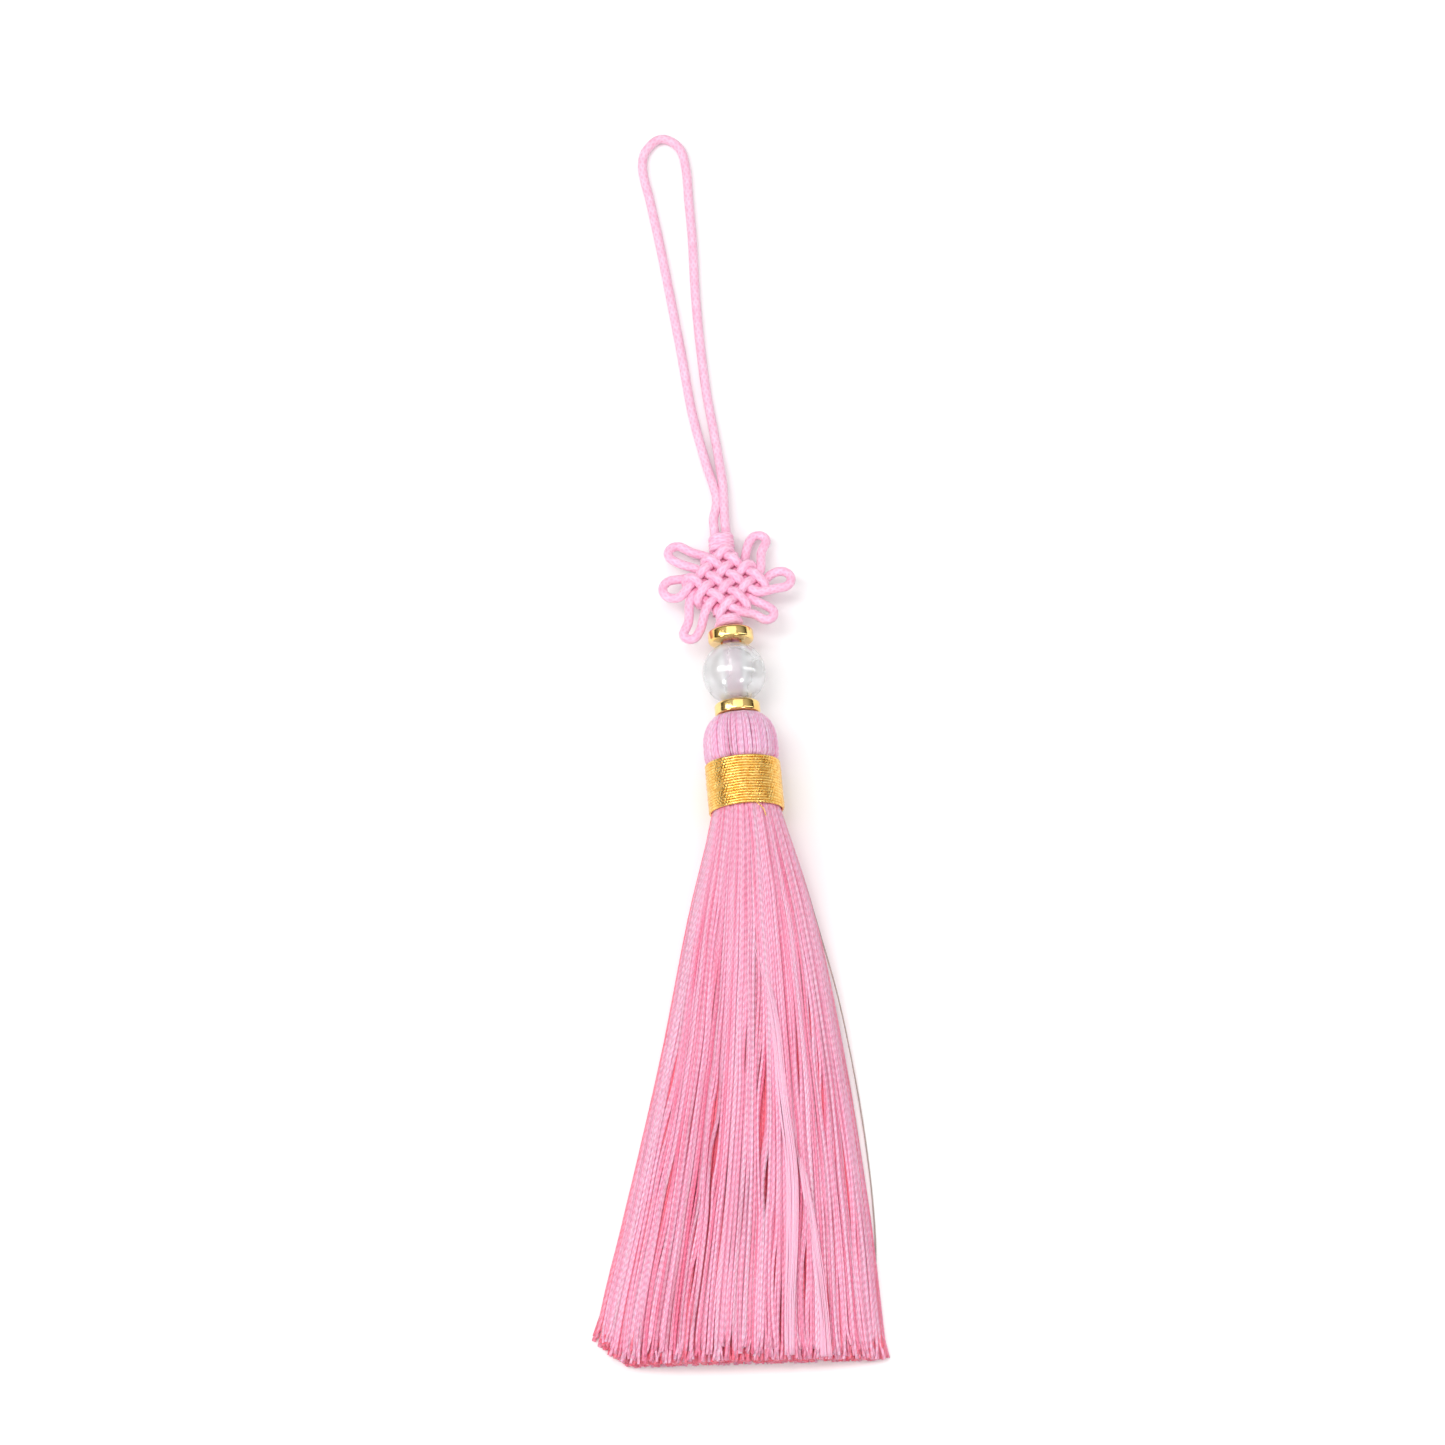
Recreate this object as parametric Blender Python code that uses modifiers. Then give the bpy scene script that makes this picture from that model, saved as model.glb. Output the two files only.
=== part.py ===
"""Bookmark tassel lying on a flat surface: a loop of thin cord, a knot with six petals, two gold
discs, a glass bead, and a tassel of silk floss with a wound gold band round its neck.

Metres, +Z up, floor at z = 0. The loop runs off towards +Y and the skirt towards -Y.
"""

import math
import random

import bmesh
import bpy
from mathutils import Euler, Matrix, Vector

MM = 0.001

# The fit between neighbours, and the cord.
GAP = 0.3 * MM
LOOP_CORD = 1.5 * MM
PETAL_CORD = 1.45 * MM
WOVEN_CORD, EDGE_CORD = 1.0 * MM, 1.2 * MM  # the turns inside the knot press each other slimmer

# The head and its band. The head's axis lies level, turned a little to the left of +Y.
AXIS_Z = 5.9 * MM
BAND_X, BAND_Y = 3.12 * MM, 22.86 * MM
HEAD_YAW = math.radians(3.3)
BAND_OUTER, BAND_INNER, BAND_LENGTH = 6.0 * MM, 5.3 * MM, 8.3 * MM
BAND_EDGE = 0.15 * MM
NECK_RADIUS = 5.0 * MM
DOME_RADIUS, DOME_TOP_RADIUS, DOME_LENGTH = 5.85 * MM, 3.3 * MM, 7.4 * MM
DOME_ROUND = 4.6 * MM
BORE_RADIUS, BORE_DEPTH = 1.65 * MM, 3.4 * MM

# The skirt: a bundle that is round at the neck and fans out flat on the floor.
SKIRT_RADIUS = 5.55 * MM
COLLAR = 1.0 * MM
COLUMNS, LAYERS = 40, 4
STRAND_GAP = 0.12  # of a strand's cell, on each side
EDGE_COLUMN = 0.985  # how near the outermost strands come to the outline
ROUGH_END = 2.6 * MM
LEFT_CUT, LEFT_PART = 4.5 * MM, 0.3
# distance from the band, centre from the band, half width, height of the edges, sag, rise
SKIRT_ROWS = (
    (12.0, 0.5, 8.9, 3.2, 3.2, 5.6),
    (37.0, 0.0, 14.1, 0.6, 0.6, 6.4),
    (62.0, -1.7, 18.8, 0.0, 0.0, 6.2),
    (85.3, -3.55, 22.05, 0.0, 0.0, 5.0),
)

# Discs and bead, threaded on the doubled cord.
DISC_RADIUS, DISC_THICK, DISC_FLAT = 3.6 * MM, 2.0 * MM, 2.5 * MM
BEAD_RADIUS = 5.0 * MM
CORE_CORD, CORE_OFFSET = 1.3 * MM, 0.68 * MM
CORE_IN_HEAD = 2.8 * MM

# The knot: four fingers of doubled cord from each pair of sides, woven square and set as a diamond.
PITCH = 1.15 * MM
LAYER = 0.70 * MM  # the front and the back layer lie this far from the middle
WAVE = 0.70 * MM  # and a strand rises or dips this much where it crosses one of its own layer
TIP_REACH = 1.25 * MM
KNOT_PITCH = math.radians(14)
TIE_FROM_CENTRE = 6.9 * MM
TOP_TIE_FROM_CENTRE = 7.9 * MM
LOWER_TIE_RADIUS, LOWER_TIE_LENGTH = 2.3 * MM, 2.4 * MM
TOP_TIE_RADIUS, TOP_TIE_LENGTH = 2.1 * MM, 3.8 * MM
LEG_OFFSET = 0.9 * MM
PETAL_STEP = 1.1 * MM
# Petal tips from the knot's centre (across, along), half the petal's width, and how far its two
# legs run straight out of the weave, in millimetres.
PETALS = {
    "upper_left": (-8.2, 7.8, 1.4, 2.2, 2.2),
    "left": (-10.0, 0.0, 1.6, 2.2, 1.4),
    "lower_left": (-6.9, -9.6, 1.0, 2.2, 2.2),
    "upper_right": (6.65, 8.8, 1.1, 2.2, 2.2),
    "right": (10.45, 0.2, 1.5, 1.4, 2.2),
    "lower_right": (6.8, -7.0, 1.1, 2.2, 2.2),
}

# The hanging loop's way over the floor, from the middle of the band, in millimetres: across,
# along, and the height of the cord's middle over the floor.
LOOP_ROUTE = (
    (-2.95, 49.5, 2),
    (-4.55, 56, 1.2),
    (-6.45, 64.6, 0.8),
    (-7.95, 75.1, 0.8),
    (-9.35, 84.2, 0.8),
    (-10.75, 93.1, 0.8),
    (-12.25, 101.5, 0.8),
    (-13.35, 107.2, 0.8),
    (-12.75, 110.6, 0.8),
    (-10.15, 112.7, 0.8),
    (-7.25, 111, 0.8),
    (-6.25, 107.2, 0.8),
    (-5.95, 101.7, 0.8),
    (-5.55, 94.5, 0.8),
    (-5.35, 85.5, 0.8),
    (-4.85, 76.9, 0.8),
    (-4.05, 68.1, 0.8),
    (-3.05, 61.2, 0.95),
    (-1.95, 52.6, 1.75),
)
LOOP_STEP = 2.6 * MM

# Places along the head's axis, from the middle of the band.
HALF_BAND = BAND_LENGTH / 2
GROOVE_END = HALF_BAND + GAP
HEAD_TOP = HALF_BAND + DOME_LENGTH
BEAD_HALF = math.sqrt(BEAD_RADIUS**2 - BORE_RADIUS**2)
LOWER_DISC_AT = HEAD_TOP + GAP + DISC_THICK / 2
BEAD_AT = LOWER_DISC_AT + DISC_THICK / 2 + GAP + BEAD_HALF
UPPER_DISC_AT = BEAD_AT + BEAD_HALF + GAP + DISC_THICK / 2
LOWER_TIE_AT = UPPER_DISC_AT + DISC_THICK / 2 + GAP + LOWER_TIE_LENGTH / 2
KNOT_AT = LOWER_TIE_AT + TIE_FROM_CENTRE * math.cos(KNOT_PITCH)
KNOT_Z = AXIS_Z - TIE_FROM_CENTRE * math.sin(KNOT_PITCH)
TOP_TIE_AT = KNOT_AT + TOP_TIE_FROM_CENTRE * math.cos(KNOT_PITCH)
TOP_TIE_Z = KNOT_Z - TOP_TIE_FROM_CENTRE * math.sin(KNOT_PITCH)

ROUND_STEPS = 48
SMALL_STEPS = 36
ALONG_Y = Matrix.Rotation(math.radians(-90), 4, "X")  # turns +Z to +Y
HEAD_FRAME = Matrix.Translation((BAND_X, BAND_Y, AXIS_Z)) @ Matrix.Rotation(HEAD_YAW, 4, "Z")


def clear_scene():
    for old in list(bpy.data.objects):
        bpy.data.objects.remove(old, do_unlink=True)


def new_collection(name):
    collection = bpy.data.collections.new(name)
    bpy.context.scene.collection.children.link(collection)
    return collection


def material(name, colour, roughness, metallic=0.0, transmission=0.0):
    made = bpy.data.materials.new(name)
    made.use_nodes = True
    shader = made.node_tree.nodes["Principled BSDF"]
    shader.inputs["Base Color"].default_value = (*colour, 1.0)
    shader.inputs["Roughness"].default_value = roughness
    shader.inputs["Metallic"].default_value = metallic
    shader.inputs["Transmission Weight"].default_value = transmission
    return made


def add_object(name, data, collection, finish=None):
    made = bpy.data.objects.new(name, data)
    collection.objects.link(made)
    if finish is not None:
        data.materials.append(finish)
    return made


def mesh_from(bm, name, smooth=True):
    """The finished bmesh as a mesh, with its faces pointing out."""
    bmesh.ops.recalc_face_normals(bm, faces=bm.faces[:])
    mesh = bpy.data.meshes.new(name)
    bm.to_mesh(mesh)
    bm.free()
    if smooth:
        mesh.shade_smooth()
        mesh.set_sharp_from_angle(angle=math.radians(40))
    return mesh


# The head and skirt of floss


def head_rows():
    """Distance from the band's middle and radius of each ring, from the skirt's root to the bore's end."""
    rows = [
        (-GROOVE_END, SKIRT_RADIUS),
        (-GROOVE_END, NECK_RADIUS),
        (GROOVE_END, NECK_RADIUS),
        (GROOVE_END, DOME_RADIUS),
    ]
    swell = DOME_RADIUS - DOME_TOP_RADIUS
    for degrees in (0, 25, 50, 72, 90):
        angle = math.radians(degrees)
        rows.append(
            (HEAD_TOP - DOME_ROUND * (1 - math.sin(angle)), DOME_TOP_RADIUS + swell * math.cos(angle))
        )
    rows.append((HEAD_TOP, BORE_RADIUS))
    rows.append((HEAD_TOP - BORE_DEPTH, BORE_RADIUS))
    return rows


def root_offset(across, up):
    """A point of the round root section: across runs -1 to 1, up 0 to 1."""
    u = across * EDGE_COLUMN
    half_chord = SKIRT_RADIUS * math.sqrt(1 - u * u)
    return Vector((u * SKIRT_RADIUS, 0, (2 * up - 1) * half_chord))


def root_place(across, up):
    offset = root_offset(across, up)
    offset.y = -GROOVE_END - COLLAR
    return HEAD_FRAME @ offset


def skirt_place(across, up, row):
    """A point of the skirt's flattened section in one row of its table."""
    distance, centre, half_width, edge, sag, rise = (value * MM for value in SKIRT_ROWS[row])
    u = across * EDGE_COLUMN
    bulge = math.sqrt(1 - u * u)
    low = edge - sag * bulge
    high = edge + rise * bulge
    return Vector(
        (
            BAND_X + centre + u * half_width,
            BAND_Y - HALF_BAND - distance,
            low + up * (high - low),
        )
    )


def map_point(co, rings):
    """Unrolled place (column, layer, row) to the real one. Rows below 0 are the head's rings."""
    across, up, row = co.x / (COLUMNS / 2), co.y / LAYERS, co.z
    if row < -0.5:
        along, radius = rings[round(-row) - 1]
        offset = root_offset(across, up) * (radius / SKIRT_RADIUS)
        offset.y = along
        return HEAD_FRAME @ offset
    if row < 0.5:
        return root_place(across, up)
    # Below the root the strands spread until the outer ones lie on the outline.
    across /= 1 - 2 * STRAND_GAP / COLUMNS
    up = (up - STRAND_GAP / LAYERS) / (1 - 2 * STRAND_GAP / LAYERS)
    before = min(int(math.floor(row + 1e-6)), len(SKIRT_ROWS))
    part = row - before
    low = skirt_place(across, up, before - 1)
    if part < 1e-6:
        return low
    return low.lerp(skirt_place(across, up, before), part)


def cut_row(across, chance):
    """Where a strand ends, as a row: a little short at random, and shorter at the far left."""
    span = (SKIRT_ROWS[-1][0] - SKIRT_ROWS[-2][0]) * MM
    short = ROUGH_END * chance.random() ** 2
    outer = max(0.0, -across - (1 - LEFT_PART)) / LEFT_PART
    return len(SKIRT_ROWS) - (short + LEFT_CUT * outer**1.5) / span


def build_tassel(collection):
    """The skirt's strands and the head, drawn unrolled as a grid of cells and then bent to shape."""
    chance = random.Random(11)
    rings = head_rows()
    bm = bmesh.new()
    bmesh.ops.create_grid(bm, x_segments=COLUMNS, y_segments=LAYERS, size=0.5)
    bmesh.ops.scale(bm, vec=(COLUMNS, LAYERS, 1), verts=bm.verts[:])
    bmesh.ops.translate(bm, vec=(0, LAYERS / 2, 0), verts=bm.verts[:])
    cells = bm.faces[:]

    rim = [edge for edge in bm.edges if edge.is_boundary]
    for row in range(1, len(rings) + 1):
        made = bmesh.ops.extrude_edge_only(bm, edges=rim)["geom"]
        rim = [part for part in made if isinstance(part, bmesh.types.BMEdge)]
        for vert in {v for edge in rim for v in edge.verts}:
            vert.co.z = -row
    bmesh.ops.contextual_create(bm, geom=rim)

    bmesh.ops.inset_individual(bm, faces=cells, thickness=STRAND_GAP, use_even_offset=True)
    for row in range(1, len(SKIRT_ROWS) + 1):
        cells = bmesh.ops.extrude_discrete_faces(bm, faces=cells)["faces"]
        for cell in cells:
            end = row
            if row == len(SKIRT_ROWS):
                end = cut_row(cell.calc_center_median().x / (COLUMNS / 2), chance)
            for vert in cell.verts:
                vert.co.z = end

    for vert in bm.verts:
        vert.co = map_point(vert.co, rings)
    finish = material("silk_floss", (0.87, 0.36, 0.53), 0.55)
    add_object("floss_tassel", mesh_from(bm, "floss_tassel"), collection, finish)


# Turned pieces


def turned(name, profile, steps, frame, collection, finish):
    """A ring from a closed profile of (radius, height), down the outer side and up the inner."""
    mesh = bpy.data.meshes.new(name)
    points = [(radius, 0, height) for radius, height in profile]
    edges = [(i, (i + 1) % len(points)) for i in range(len(points))]
    mesh.from_pydata(points, edges, [])
    made = add_object(name, mesh, collection, finish)
    screw = made.modifiers.new("turn", "SCREW")
    screw.steps = steps
    screw.render_steps = steps
    screw.use_merge_vertices = True
    screw.merge_threshold = 0.00001
    screw.use_smooth_shade = True
    made.matrix_world = frame
    return made


def band_profile():
    end, edge = HALF_BAND, BAND_EDGE
    return (
        (BAND_OUTER - edge, end),
        (BAND_OUTER, end - edge),
        (BAND_OUTER, edge - end),
        (BAND_OUTER - edge, -end),
        (BAND_INNER, -end),
        (BAND_INNER, end),
    )


def disc_profile():
    """A thick ring with a round rim and small flats where it meets its neighbours."""
    half = DISC_THICK / 2
    points = [(DISC_FLAT, half)]
    for degrees in (60, 30, 0, -30, -60):
        angle = math.radians(degrees)
        points.append(
            (DISC_FLAT + (DISC_RADIUS - DISC_FLAT) * math.cos(angle), half * math.sin(angle))
        )
    points += [(DISC_FLAT, -half), (BORE_RADIUS, -half), (BORE_RADIUS, half)]
    return points


def bead_profile():
    """A ball down its outer side, then up its bore."""
    top = math.asin(BEAD_HALF / BEAD_RADIUS)
    arcs = 14
    points = []
    for i in range(arcs + 1):
        angle = top - 2 * top * i / arcs
        points.append((BEAD_RADIUS * math.cos(angle), BEAD_RADIUS * math.sin(angle)))
    return points


def on_axis(along, height=AXIS_Z):
    """The frame of a piece that is threaded on the head's axis, its own axis turned along it."""
    return HEAD_FRAME @ Matrix.Translation((0, along, height - AXIS_Z)) @ ALONG_Y


def build_turned(parts, cutters):
    gold = material("polished_gold", (0.80, 0.50, 0.12), 0.15, metallic=1.0)
    glass = material("milky_glass", (0.86, 0.88, 0.88), 0.12, transmission=0.6)
    wire = material("gold_thread", (0.76, 0.50, 0.15), 0.35, metallic=1.0)
    band = turned("gold_band", band_profile(), ROUND_STEPS, on_axis(0), parts, wire)
    turned("lower_disc", disc_profile(), SMALL_STEPS, on_axis(LOWER_DISC_AT), parts, gold)
    turned("upper_disc", disc_profile(), SMALL_STEPS, on_axis(UPPER_DISC_AT), parts, gold)
    turned("glass_bead", bead_profile(), SMALL_STEPS, on_axis(BEAD_AT), parts, glass)

    # A small flat under the band, where the tassel rests.
    bm = bmesh.new()
    bmesh.ops.create_cube(bm, size=20 * MM)
    floor = add_object("floor_cutter", mesh_from(bm, "floor_cutter", smooth=False), cutters)
    floor.location = (BAND_X, BAND_Y, -10 * MM)
    floor.hide_render = True
    floor.display_type = "WIRE"
    cut = band.modifiers.new("flat spot", "BOOLEAN")
    cut.operation = "DIFFERENCE"
    cut.solver = "EXACT"
    cut.object = floor


# The knot


def lane(number):
    """Where strand line 0 to 7 runs, from the left for columns and from the bottom for rows."""
    return (number - 3.5) * PITCH


def crossing(runs, number, other):
    """Height of a strand where it crosses one of the other direction.

    Lanes are numbered from the top left: odd ones are in the back layer. Each finger owns two lanes.
    """
    front, other_front = number % 2 == 0, other % 2 == 0
    base = LAYER if front else -LAYER
    if front != other_front:
        return base
    column, row = (number, other) if runs == "column" else (other, number)
    from_top, from_left = column // 2 % 2 == 1, row // 2 % 2 == 0
    # In the front layer left goes over top, top over right, right over bottom, bottom over left.
    row_over = from_left == from_top
    is_over = row_over == (runs == "row")
    if not front:
        is_over = not is_over
    return base + (WAVE if is_over else -WAVE)


def finger(side, index):
    """One finger of doubled cord: in along its front lane, round its tip, and back along the next."""
    columns = side in ("top", "bottom")
    lane_number = {"top": 2, "bottom": 0, "left": 0, "right": 2}[side] + 4 * index
    forward = side in ("top", "left")
    order = list(range(8)) if forward else list(range(7, -1, -1))
    sign = 1 if forward else -1
    runs = "column" if columns else "row"

    def place(across, travel, height):
        if columns:
            return Vector((across, -travel, height))
        return Vector((travel, -across, height))

    going = [place(lane(lane_number), lane(i), crossing(runs, lane_number, i)) for i in order]
    coming = [
        place(lane(lane_number + 1), lane(i), crossing(runs, lane_number + 1, i)) for i in reversed(order)
    ]
    first, last = going[-1].z, coming[0].z
    middle = lane(lane_number + 0.5)
    tip = []
    for degrees in (40, 90, 140):
        angle = math.radians(degrees)
        tip.append(
            place(
                middle - PITCH / 2 * math.cos(angle),
                sign * (lane(7) + TIP_REACH * math.sin(angle)),
                (first + last) / 2 + (first - last) / 2 * math.cos(angle),
            )
        )
    return going + tip + coming


def smooth_line(points, step):
    """Points a step apart on a smooth curve through the given ones."""
    ends = [points[0] * 2 - points[1], *points, points[-1] * 2 - points[-2]]
    fine = []
    for a, b, c, d in zip(ends, ends[1:], ends[2:], ends[3:]):
        for i in range(12):
            t = i / 12
            fine.append(
                0.5 * (2 * b + (c - a) * t + (2 * a - 5 * b + 4 * c - d) * t**2 + (3 * b - a - 3 * c + d) * t**3)
            )
    fine.append(points[-1])
    lengths = [0.0]
    for a, b in zip(fine, fine[1:]):
        lengths.append(lengths[-1] + (b - a).length)
    count = max(2, round(lengths[-1] / step))
    line, k = [], 0
    for i in range(count + 1):
        wanted = lengths[-1] * i / count
        while k < len(fine) - 2 and lengths[k + 1] < wanted:
            k += 1
        part = (wanted - lengths[k]) / max(lengths[k + 1] - lengths[k], 1e-12)
        line.append(fine[k].lerp(fine[k + 1], min(1.0, part)))
    return line


def to_square(across, along, height=0.0):
    """A place on the diamond as seen, turned back to the square that the weave is drawn in."""
    half = math.sqrt(0.5)
    return Vector(((across - along) * half, (across + along) * half, height))


def petal(name, start, end, way_out, way_in):
    """The open loop between two fingers, from where one leaves the weave to where the next enters."""
    across, along, half_width, straight_out, straight_in = (value * MM for value in PETALS[name])
    tip = to_square(across, along)
    out = tip.normalized()
    side = Vector((-out.y, out.x, 0))
    if (start - end).dot(side) < 0:
        side = -side
    knots = [
        start + way_out * straight_out,
        tip * 0.76 + side * half_width * 1.05,
        tip - out * half_width * 0.75 + side * half_width * 0.85,
        tip.copy(),
        tip - out * half_width * 0.75 - side * half_width * 0.85,
        tip * 0.76 - side * half_width * 1.05,
        end + way_in * straight_in,
    ]
    for knot, height in zip(knots, (-1, -0.5, -0.15, 0, 0.15, 0.5, 1)):
        knot.z = height * LAYER
    return smooth_line([start, *knots, end], PETAL_STEP)[1:-1]


LEFT, RIGHT = Vector((-1, 0, 0)), Vector((1, 0, 0))
UP, DOWN = Vector((0, 1, 0)), Vector((0, -1, 0))


def half_weave(stops, leg_start, leg_end):
    """One cord's way through the knot: its fingers with the petals between them, and its width."""
    line = [leg_start]
    widths = [WOVEN_CORD]
    before = None
    for side, index, way, name in stops:
        strand = finger(side, index)
        if before is not None:
            loop = petal(name, line[-1], strand[0], before, way)
            line += loop
            widths += [EDGE_CORD, *[PETAL_CORD] * (len(loop) - 2), EDGE_CORD]
        line += strand
        widths += [WOVEN_CORD] * len(strand)
        before = way
    return [*line, leg_end], [*widths, WOVEN_CORD]


def tube(name, line, widths, resolution, collection, finish=None):
    """A cord of round section along a line, as wide at each point as widths says."""
    curve = bpy.data.curves.new(name, "CURVE")
    curve.dimensions = "3D"
    curve.bevel_depth = 0.5
    curve.bevel_resolution = resolution
    curve.use_fill_caps = True
    spline = curve.splines.new("POLY")
    spline.points.add(len(line) - 1)
    for point, place, width in zip(spline.points, line, widths):
        point.co = (*place, 1)
        point.radius = width
    return add_object(name, curve, collection, finish)


def as_mesh(made, collection, frame):
    """A curve object as a closed mesh object, placed by a frame."""
    evaluated = made.evaluated_get(bpy.context.evaluated_depsgraph_get())
    mesh = bpy.data.meshes.new_from_object(evaluated)
    name = made.name
    bpy.data.objects.remove(made, do_unlink=True)
    bm = bmesh.new()
    bm.from_mesh(mesh)
    bmesh.ops.remove_doubles(bm, verts=bm.verts[:], dist=0.001 * MM)
    bmesh.ops.transform(bm, matrix=frame, verts=bm.verts[:])
    bmesh.ops.recalc_face_normals(bm, faces=bm.faces[:])
    bm.to_mesh(mesh)
    bm.free()
    return add_object(name, mesh, collection)


def barrel(name, radius, length, frame, collection):
    """A tie: the cord wrapped round and drawn tight, as a short barrel with rounded ends."""
    bm = bmesh.new()
    rings = ((-0.5, 0.72), (-0.38, 0.93), (0.0, 1.0), (0.38, 0.93), (0.5, 0.72))
    bmesh.ops.create_circle(bm, cap_ends=True, segments=20, radius=radius)
    top = bm.faces[:]
    bmesh.ops.scale(bm, vec=(rings[0][1], rings[0][1], 1), verts=bm.verts[:])
    bmesh.ops.translate(bm, vec=(0, 0, rings[0][0] * length), verts=bm.verts[:])
    for before, (height, share) in zip(rings, rings[1:]):
        made = bmesh.ops.extrude_face_region(bm, geom=top)["geom"]
        if before is not rings[0]:
            bmesh.ops.delete(bm, geom=top, context="FACES_ONLY")
        top = [part for part in made if isinstance(part, bmesh.types.BMFace)]
        verts = [part for part in made if isinstance(part, bmesh.types.BMVert)]
        bmesh.ops.scale(bm, vec=(share / before[1], share / before[1], 1), verts=verts)
        bmesh.ops.translate(bm, vec=(0, 0, (height - before[0]) * length), verts=verts)
    bmesh.ops.transform(bm, matrix=frame, verts=bm.verts[:])
    return add_object(name, mesh_from(bm, name, smooth=False), collection)


def build_knot(parts, cutters):
    """The weave, its two ties and the doubled cord below it, joined to one solid."""
    knot_frame = (
        HEAD_FRAME
        @ Matrix.Translation((0, KNOT_AT, KNOT_Z - AXIS_Z))
        @ Euler((-KNOT_PITCH, 0, 0)).to_matrix().to_4x4()
        @ Matrix.Rotation(math.radians(-45), 4, "Z")
    )
    corner = lane(7)
    right_start = Vector((lane(2) - 0.9 * MM, corner + 1.1 * MM, 0.4 * MM))
    right_end = Vector((corner + 1.3 * MM, -corner - 0.3 * MM, -0.3 * MM))
    left_start = Vector((-corner - 1.3 * MM, corner + 0.3 * MM, 0.4 * MM))
    left_end = Vector((lane(5) + 0.9 * MM, -corner - 1.1 * MM, -0.3 * MM))
    right = half_weave(
        (
            ("top", 0, UP, None),
            ("top", 1, UP, "upper_right"),
            ("right", 0, RIGHT, "right"),
            ("right", 1, RIGHT, "lower_right"),
        ),
        right_start,
        right_end,
    )
    left = half_weave(
        (
            ("left", 0, LEFT, None),
            ("left", 1, LEFT, "upper_left"),
            ("bottom", 0, DOWN, "left"),
            ("bottom", 1, DOWN, "lower_left"),
        ),
        left_start,
        left_end,
    )
    pieces = []
    for name, (line, widths) in (("right_cord", right), ("left_cord", left)):
        made = tube(name, line, widths, 1, cutters)
        pieces.append(as_mesh(made, cutters, knot_frame))
    for side in (-1, 1):
        line = [
            Vector((side * CORE_OFFSET, HEAD_TOP - CORE_IN_HEAD, 0)),
            Vector((side * CORE_OFFSET, LOWER_TIE_AT, 0)),
        ]
        made = tube("core_cord", line, [CORE_CORD] * len(line), 2, cutters)
        pieces.append(as_mesh(made, cutters, HEAD_FRAME))
    pieces.append(
        barrel("lower_tie", LOWER_TIE_RADIUS, LOWER_TIE_LENGTH, on_axis(LOWER_TIE_AT), cutters)
    )
    pieces.append(
        barrel("top_tie", TOP_TIE_RADIUS, TOP_TIE_LENGTH, on_axis(TOP_TIE_AT, TOP_TIE_Z), cutters)
    )
    knot = pieces[0]
    cutters.objects.unlink(knot)
    parts.objects.link(knot)
    knot.name = "cord_knot"
    knot.data.materials.append(material("pink_cord", (0.92, 0.55, 0.73), 0.6))
    for piece in pieces[1:]:
        piece.hide_render = True
        piece.display_type = "WIRE"
        join = knot.modifiers.new(piece.name, "BOOLEAN")
        join.operation = "UNION"
        join.solver = "EXACT"
        join.object = piece


def build_loop(collection):
    """The hanging loop, from one side of the top tie round to the other, lying on the floor."""
    start = TOP_TIE_AT + TOP_TIE_LENGTH / 2 + GAP
    frame = HEAD_FRAME @ Matrix.Translation((0, 0, TOP_TIE_Z - AXIS_Z))
    legs = []
    for side in (-1, 1):
        legs.append([frame @ Vector((side * LEG_OFFSET, start + along, 0)) for along in (0, 2 * MM)])
    band = Vector((BAND_X, BAND_Y, 0))
    route = [band + Vector(row) * MM for row in LOOP_ROUTE]
    line = smooth_line(legs[0] + route + legs[1][::-1], LOOP_STEP)
    finish = material("loop_cord", (0.92, 0.60, 0.76), 0.6)
    tube("hanging_loop", line, [LOOP_CORD] * len(line), 2, collection, finish)


def main():
    clear_scene()
    parts = new_collection("bookmark_tassel")
    cutters = new_collection("joined_and_cut_with")
    build_tassel(parts)
    build_turned(parts, cutters)
    build_knot(parts, cutters)
    build_loop(parts)


main()
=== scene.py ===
# %% [markdown]
# # A bookmark tassel
#
# A tassel of pink silk floss hangs on a knotted cord, with two gold discs and a bead of milky glass
# above its head and a winding of gold thread round its neck. It lies on a table with its skirt
# fanned out. The solids, which carry the weight, come ready made. This lesson dresses them, one
# piece at a time, with the threads, turns and finishes that the eye looks for.

import math

import bpy
import numpy as np
from mathutils import Euler, Matrix, Vector


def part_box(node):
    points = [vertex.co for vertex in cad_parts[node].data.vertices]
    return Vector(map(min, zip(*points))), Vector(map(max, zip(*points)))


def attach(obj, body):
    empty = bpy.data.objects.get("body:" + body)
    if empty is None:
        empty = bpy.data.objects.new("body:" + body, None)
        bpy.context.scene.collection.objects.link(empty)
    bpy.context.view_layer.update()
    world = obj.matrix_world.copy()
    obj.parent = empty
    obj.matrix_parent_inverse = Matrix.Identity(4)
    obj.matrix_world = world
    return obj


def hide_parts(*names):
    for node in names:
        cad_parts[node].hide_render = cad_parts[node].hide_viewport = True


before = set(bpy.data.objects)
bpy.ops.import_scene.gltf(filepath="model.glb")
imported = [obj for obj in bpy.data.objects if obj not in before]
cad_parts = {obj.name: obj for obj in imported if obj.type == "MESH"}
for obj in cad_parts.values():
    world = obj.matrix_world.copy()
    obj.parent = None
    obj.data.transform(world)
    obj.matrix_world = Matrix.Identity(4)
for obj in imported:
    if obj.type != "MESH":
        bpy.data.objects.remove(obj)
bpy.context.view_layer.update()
bpy.ops.object.select_all(action="DESELECT")
print("solids:", sorted(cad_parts))

# %% [markdown]
# ## Camera
#
# The tassel is seen from above and a little from the skirt's side, about 73 degrees down. The
# camera could be turned by hand until it looks right. Here it stands at a measured place and is
# aimed at the middle of the tassel, because the lengths were worked out from the same place. A long
# lens brings the tassel to the frame's height without a change of perspective.

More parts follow.
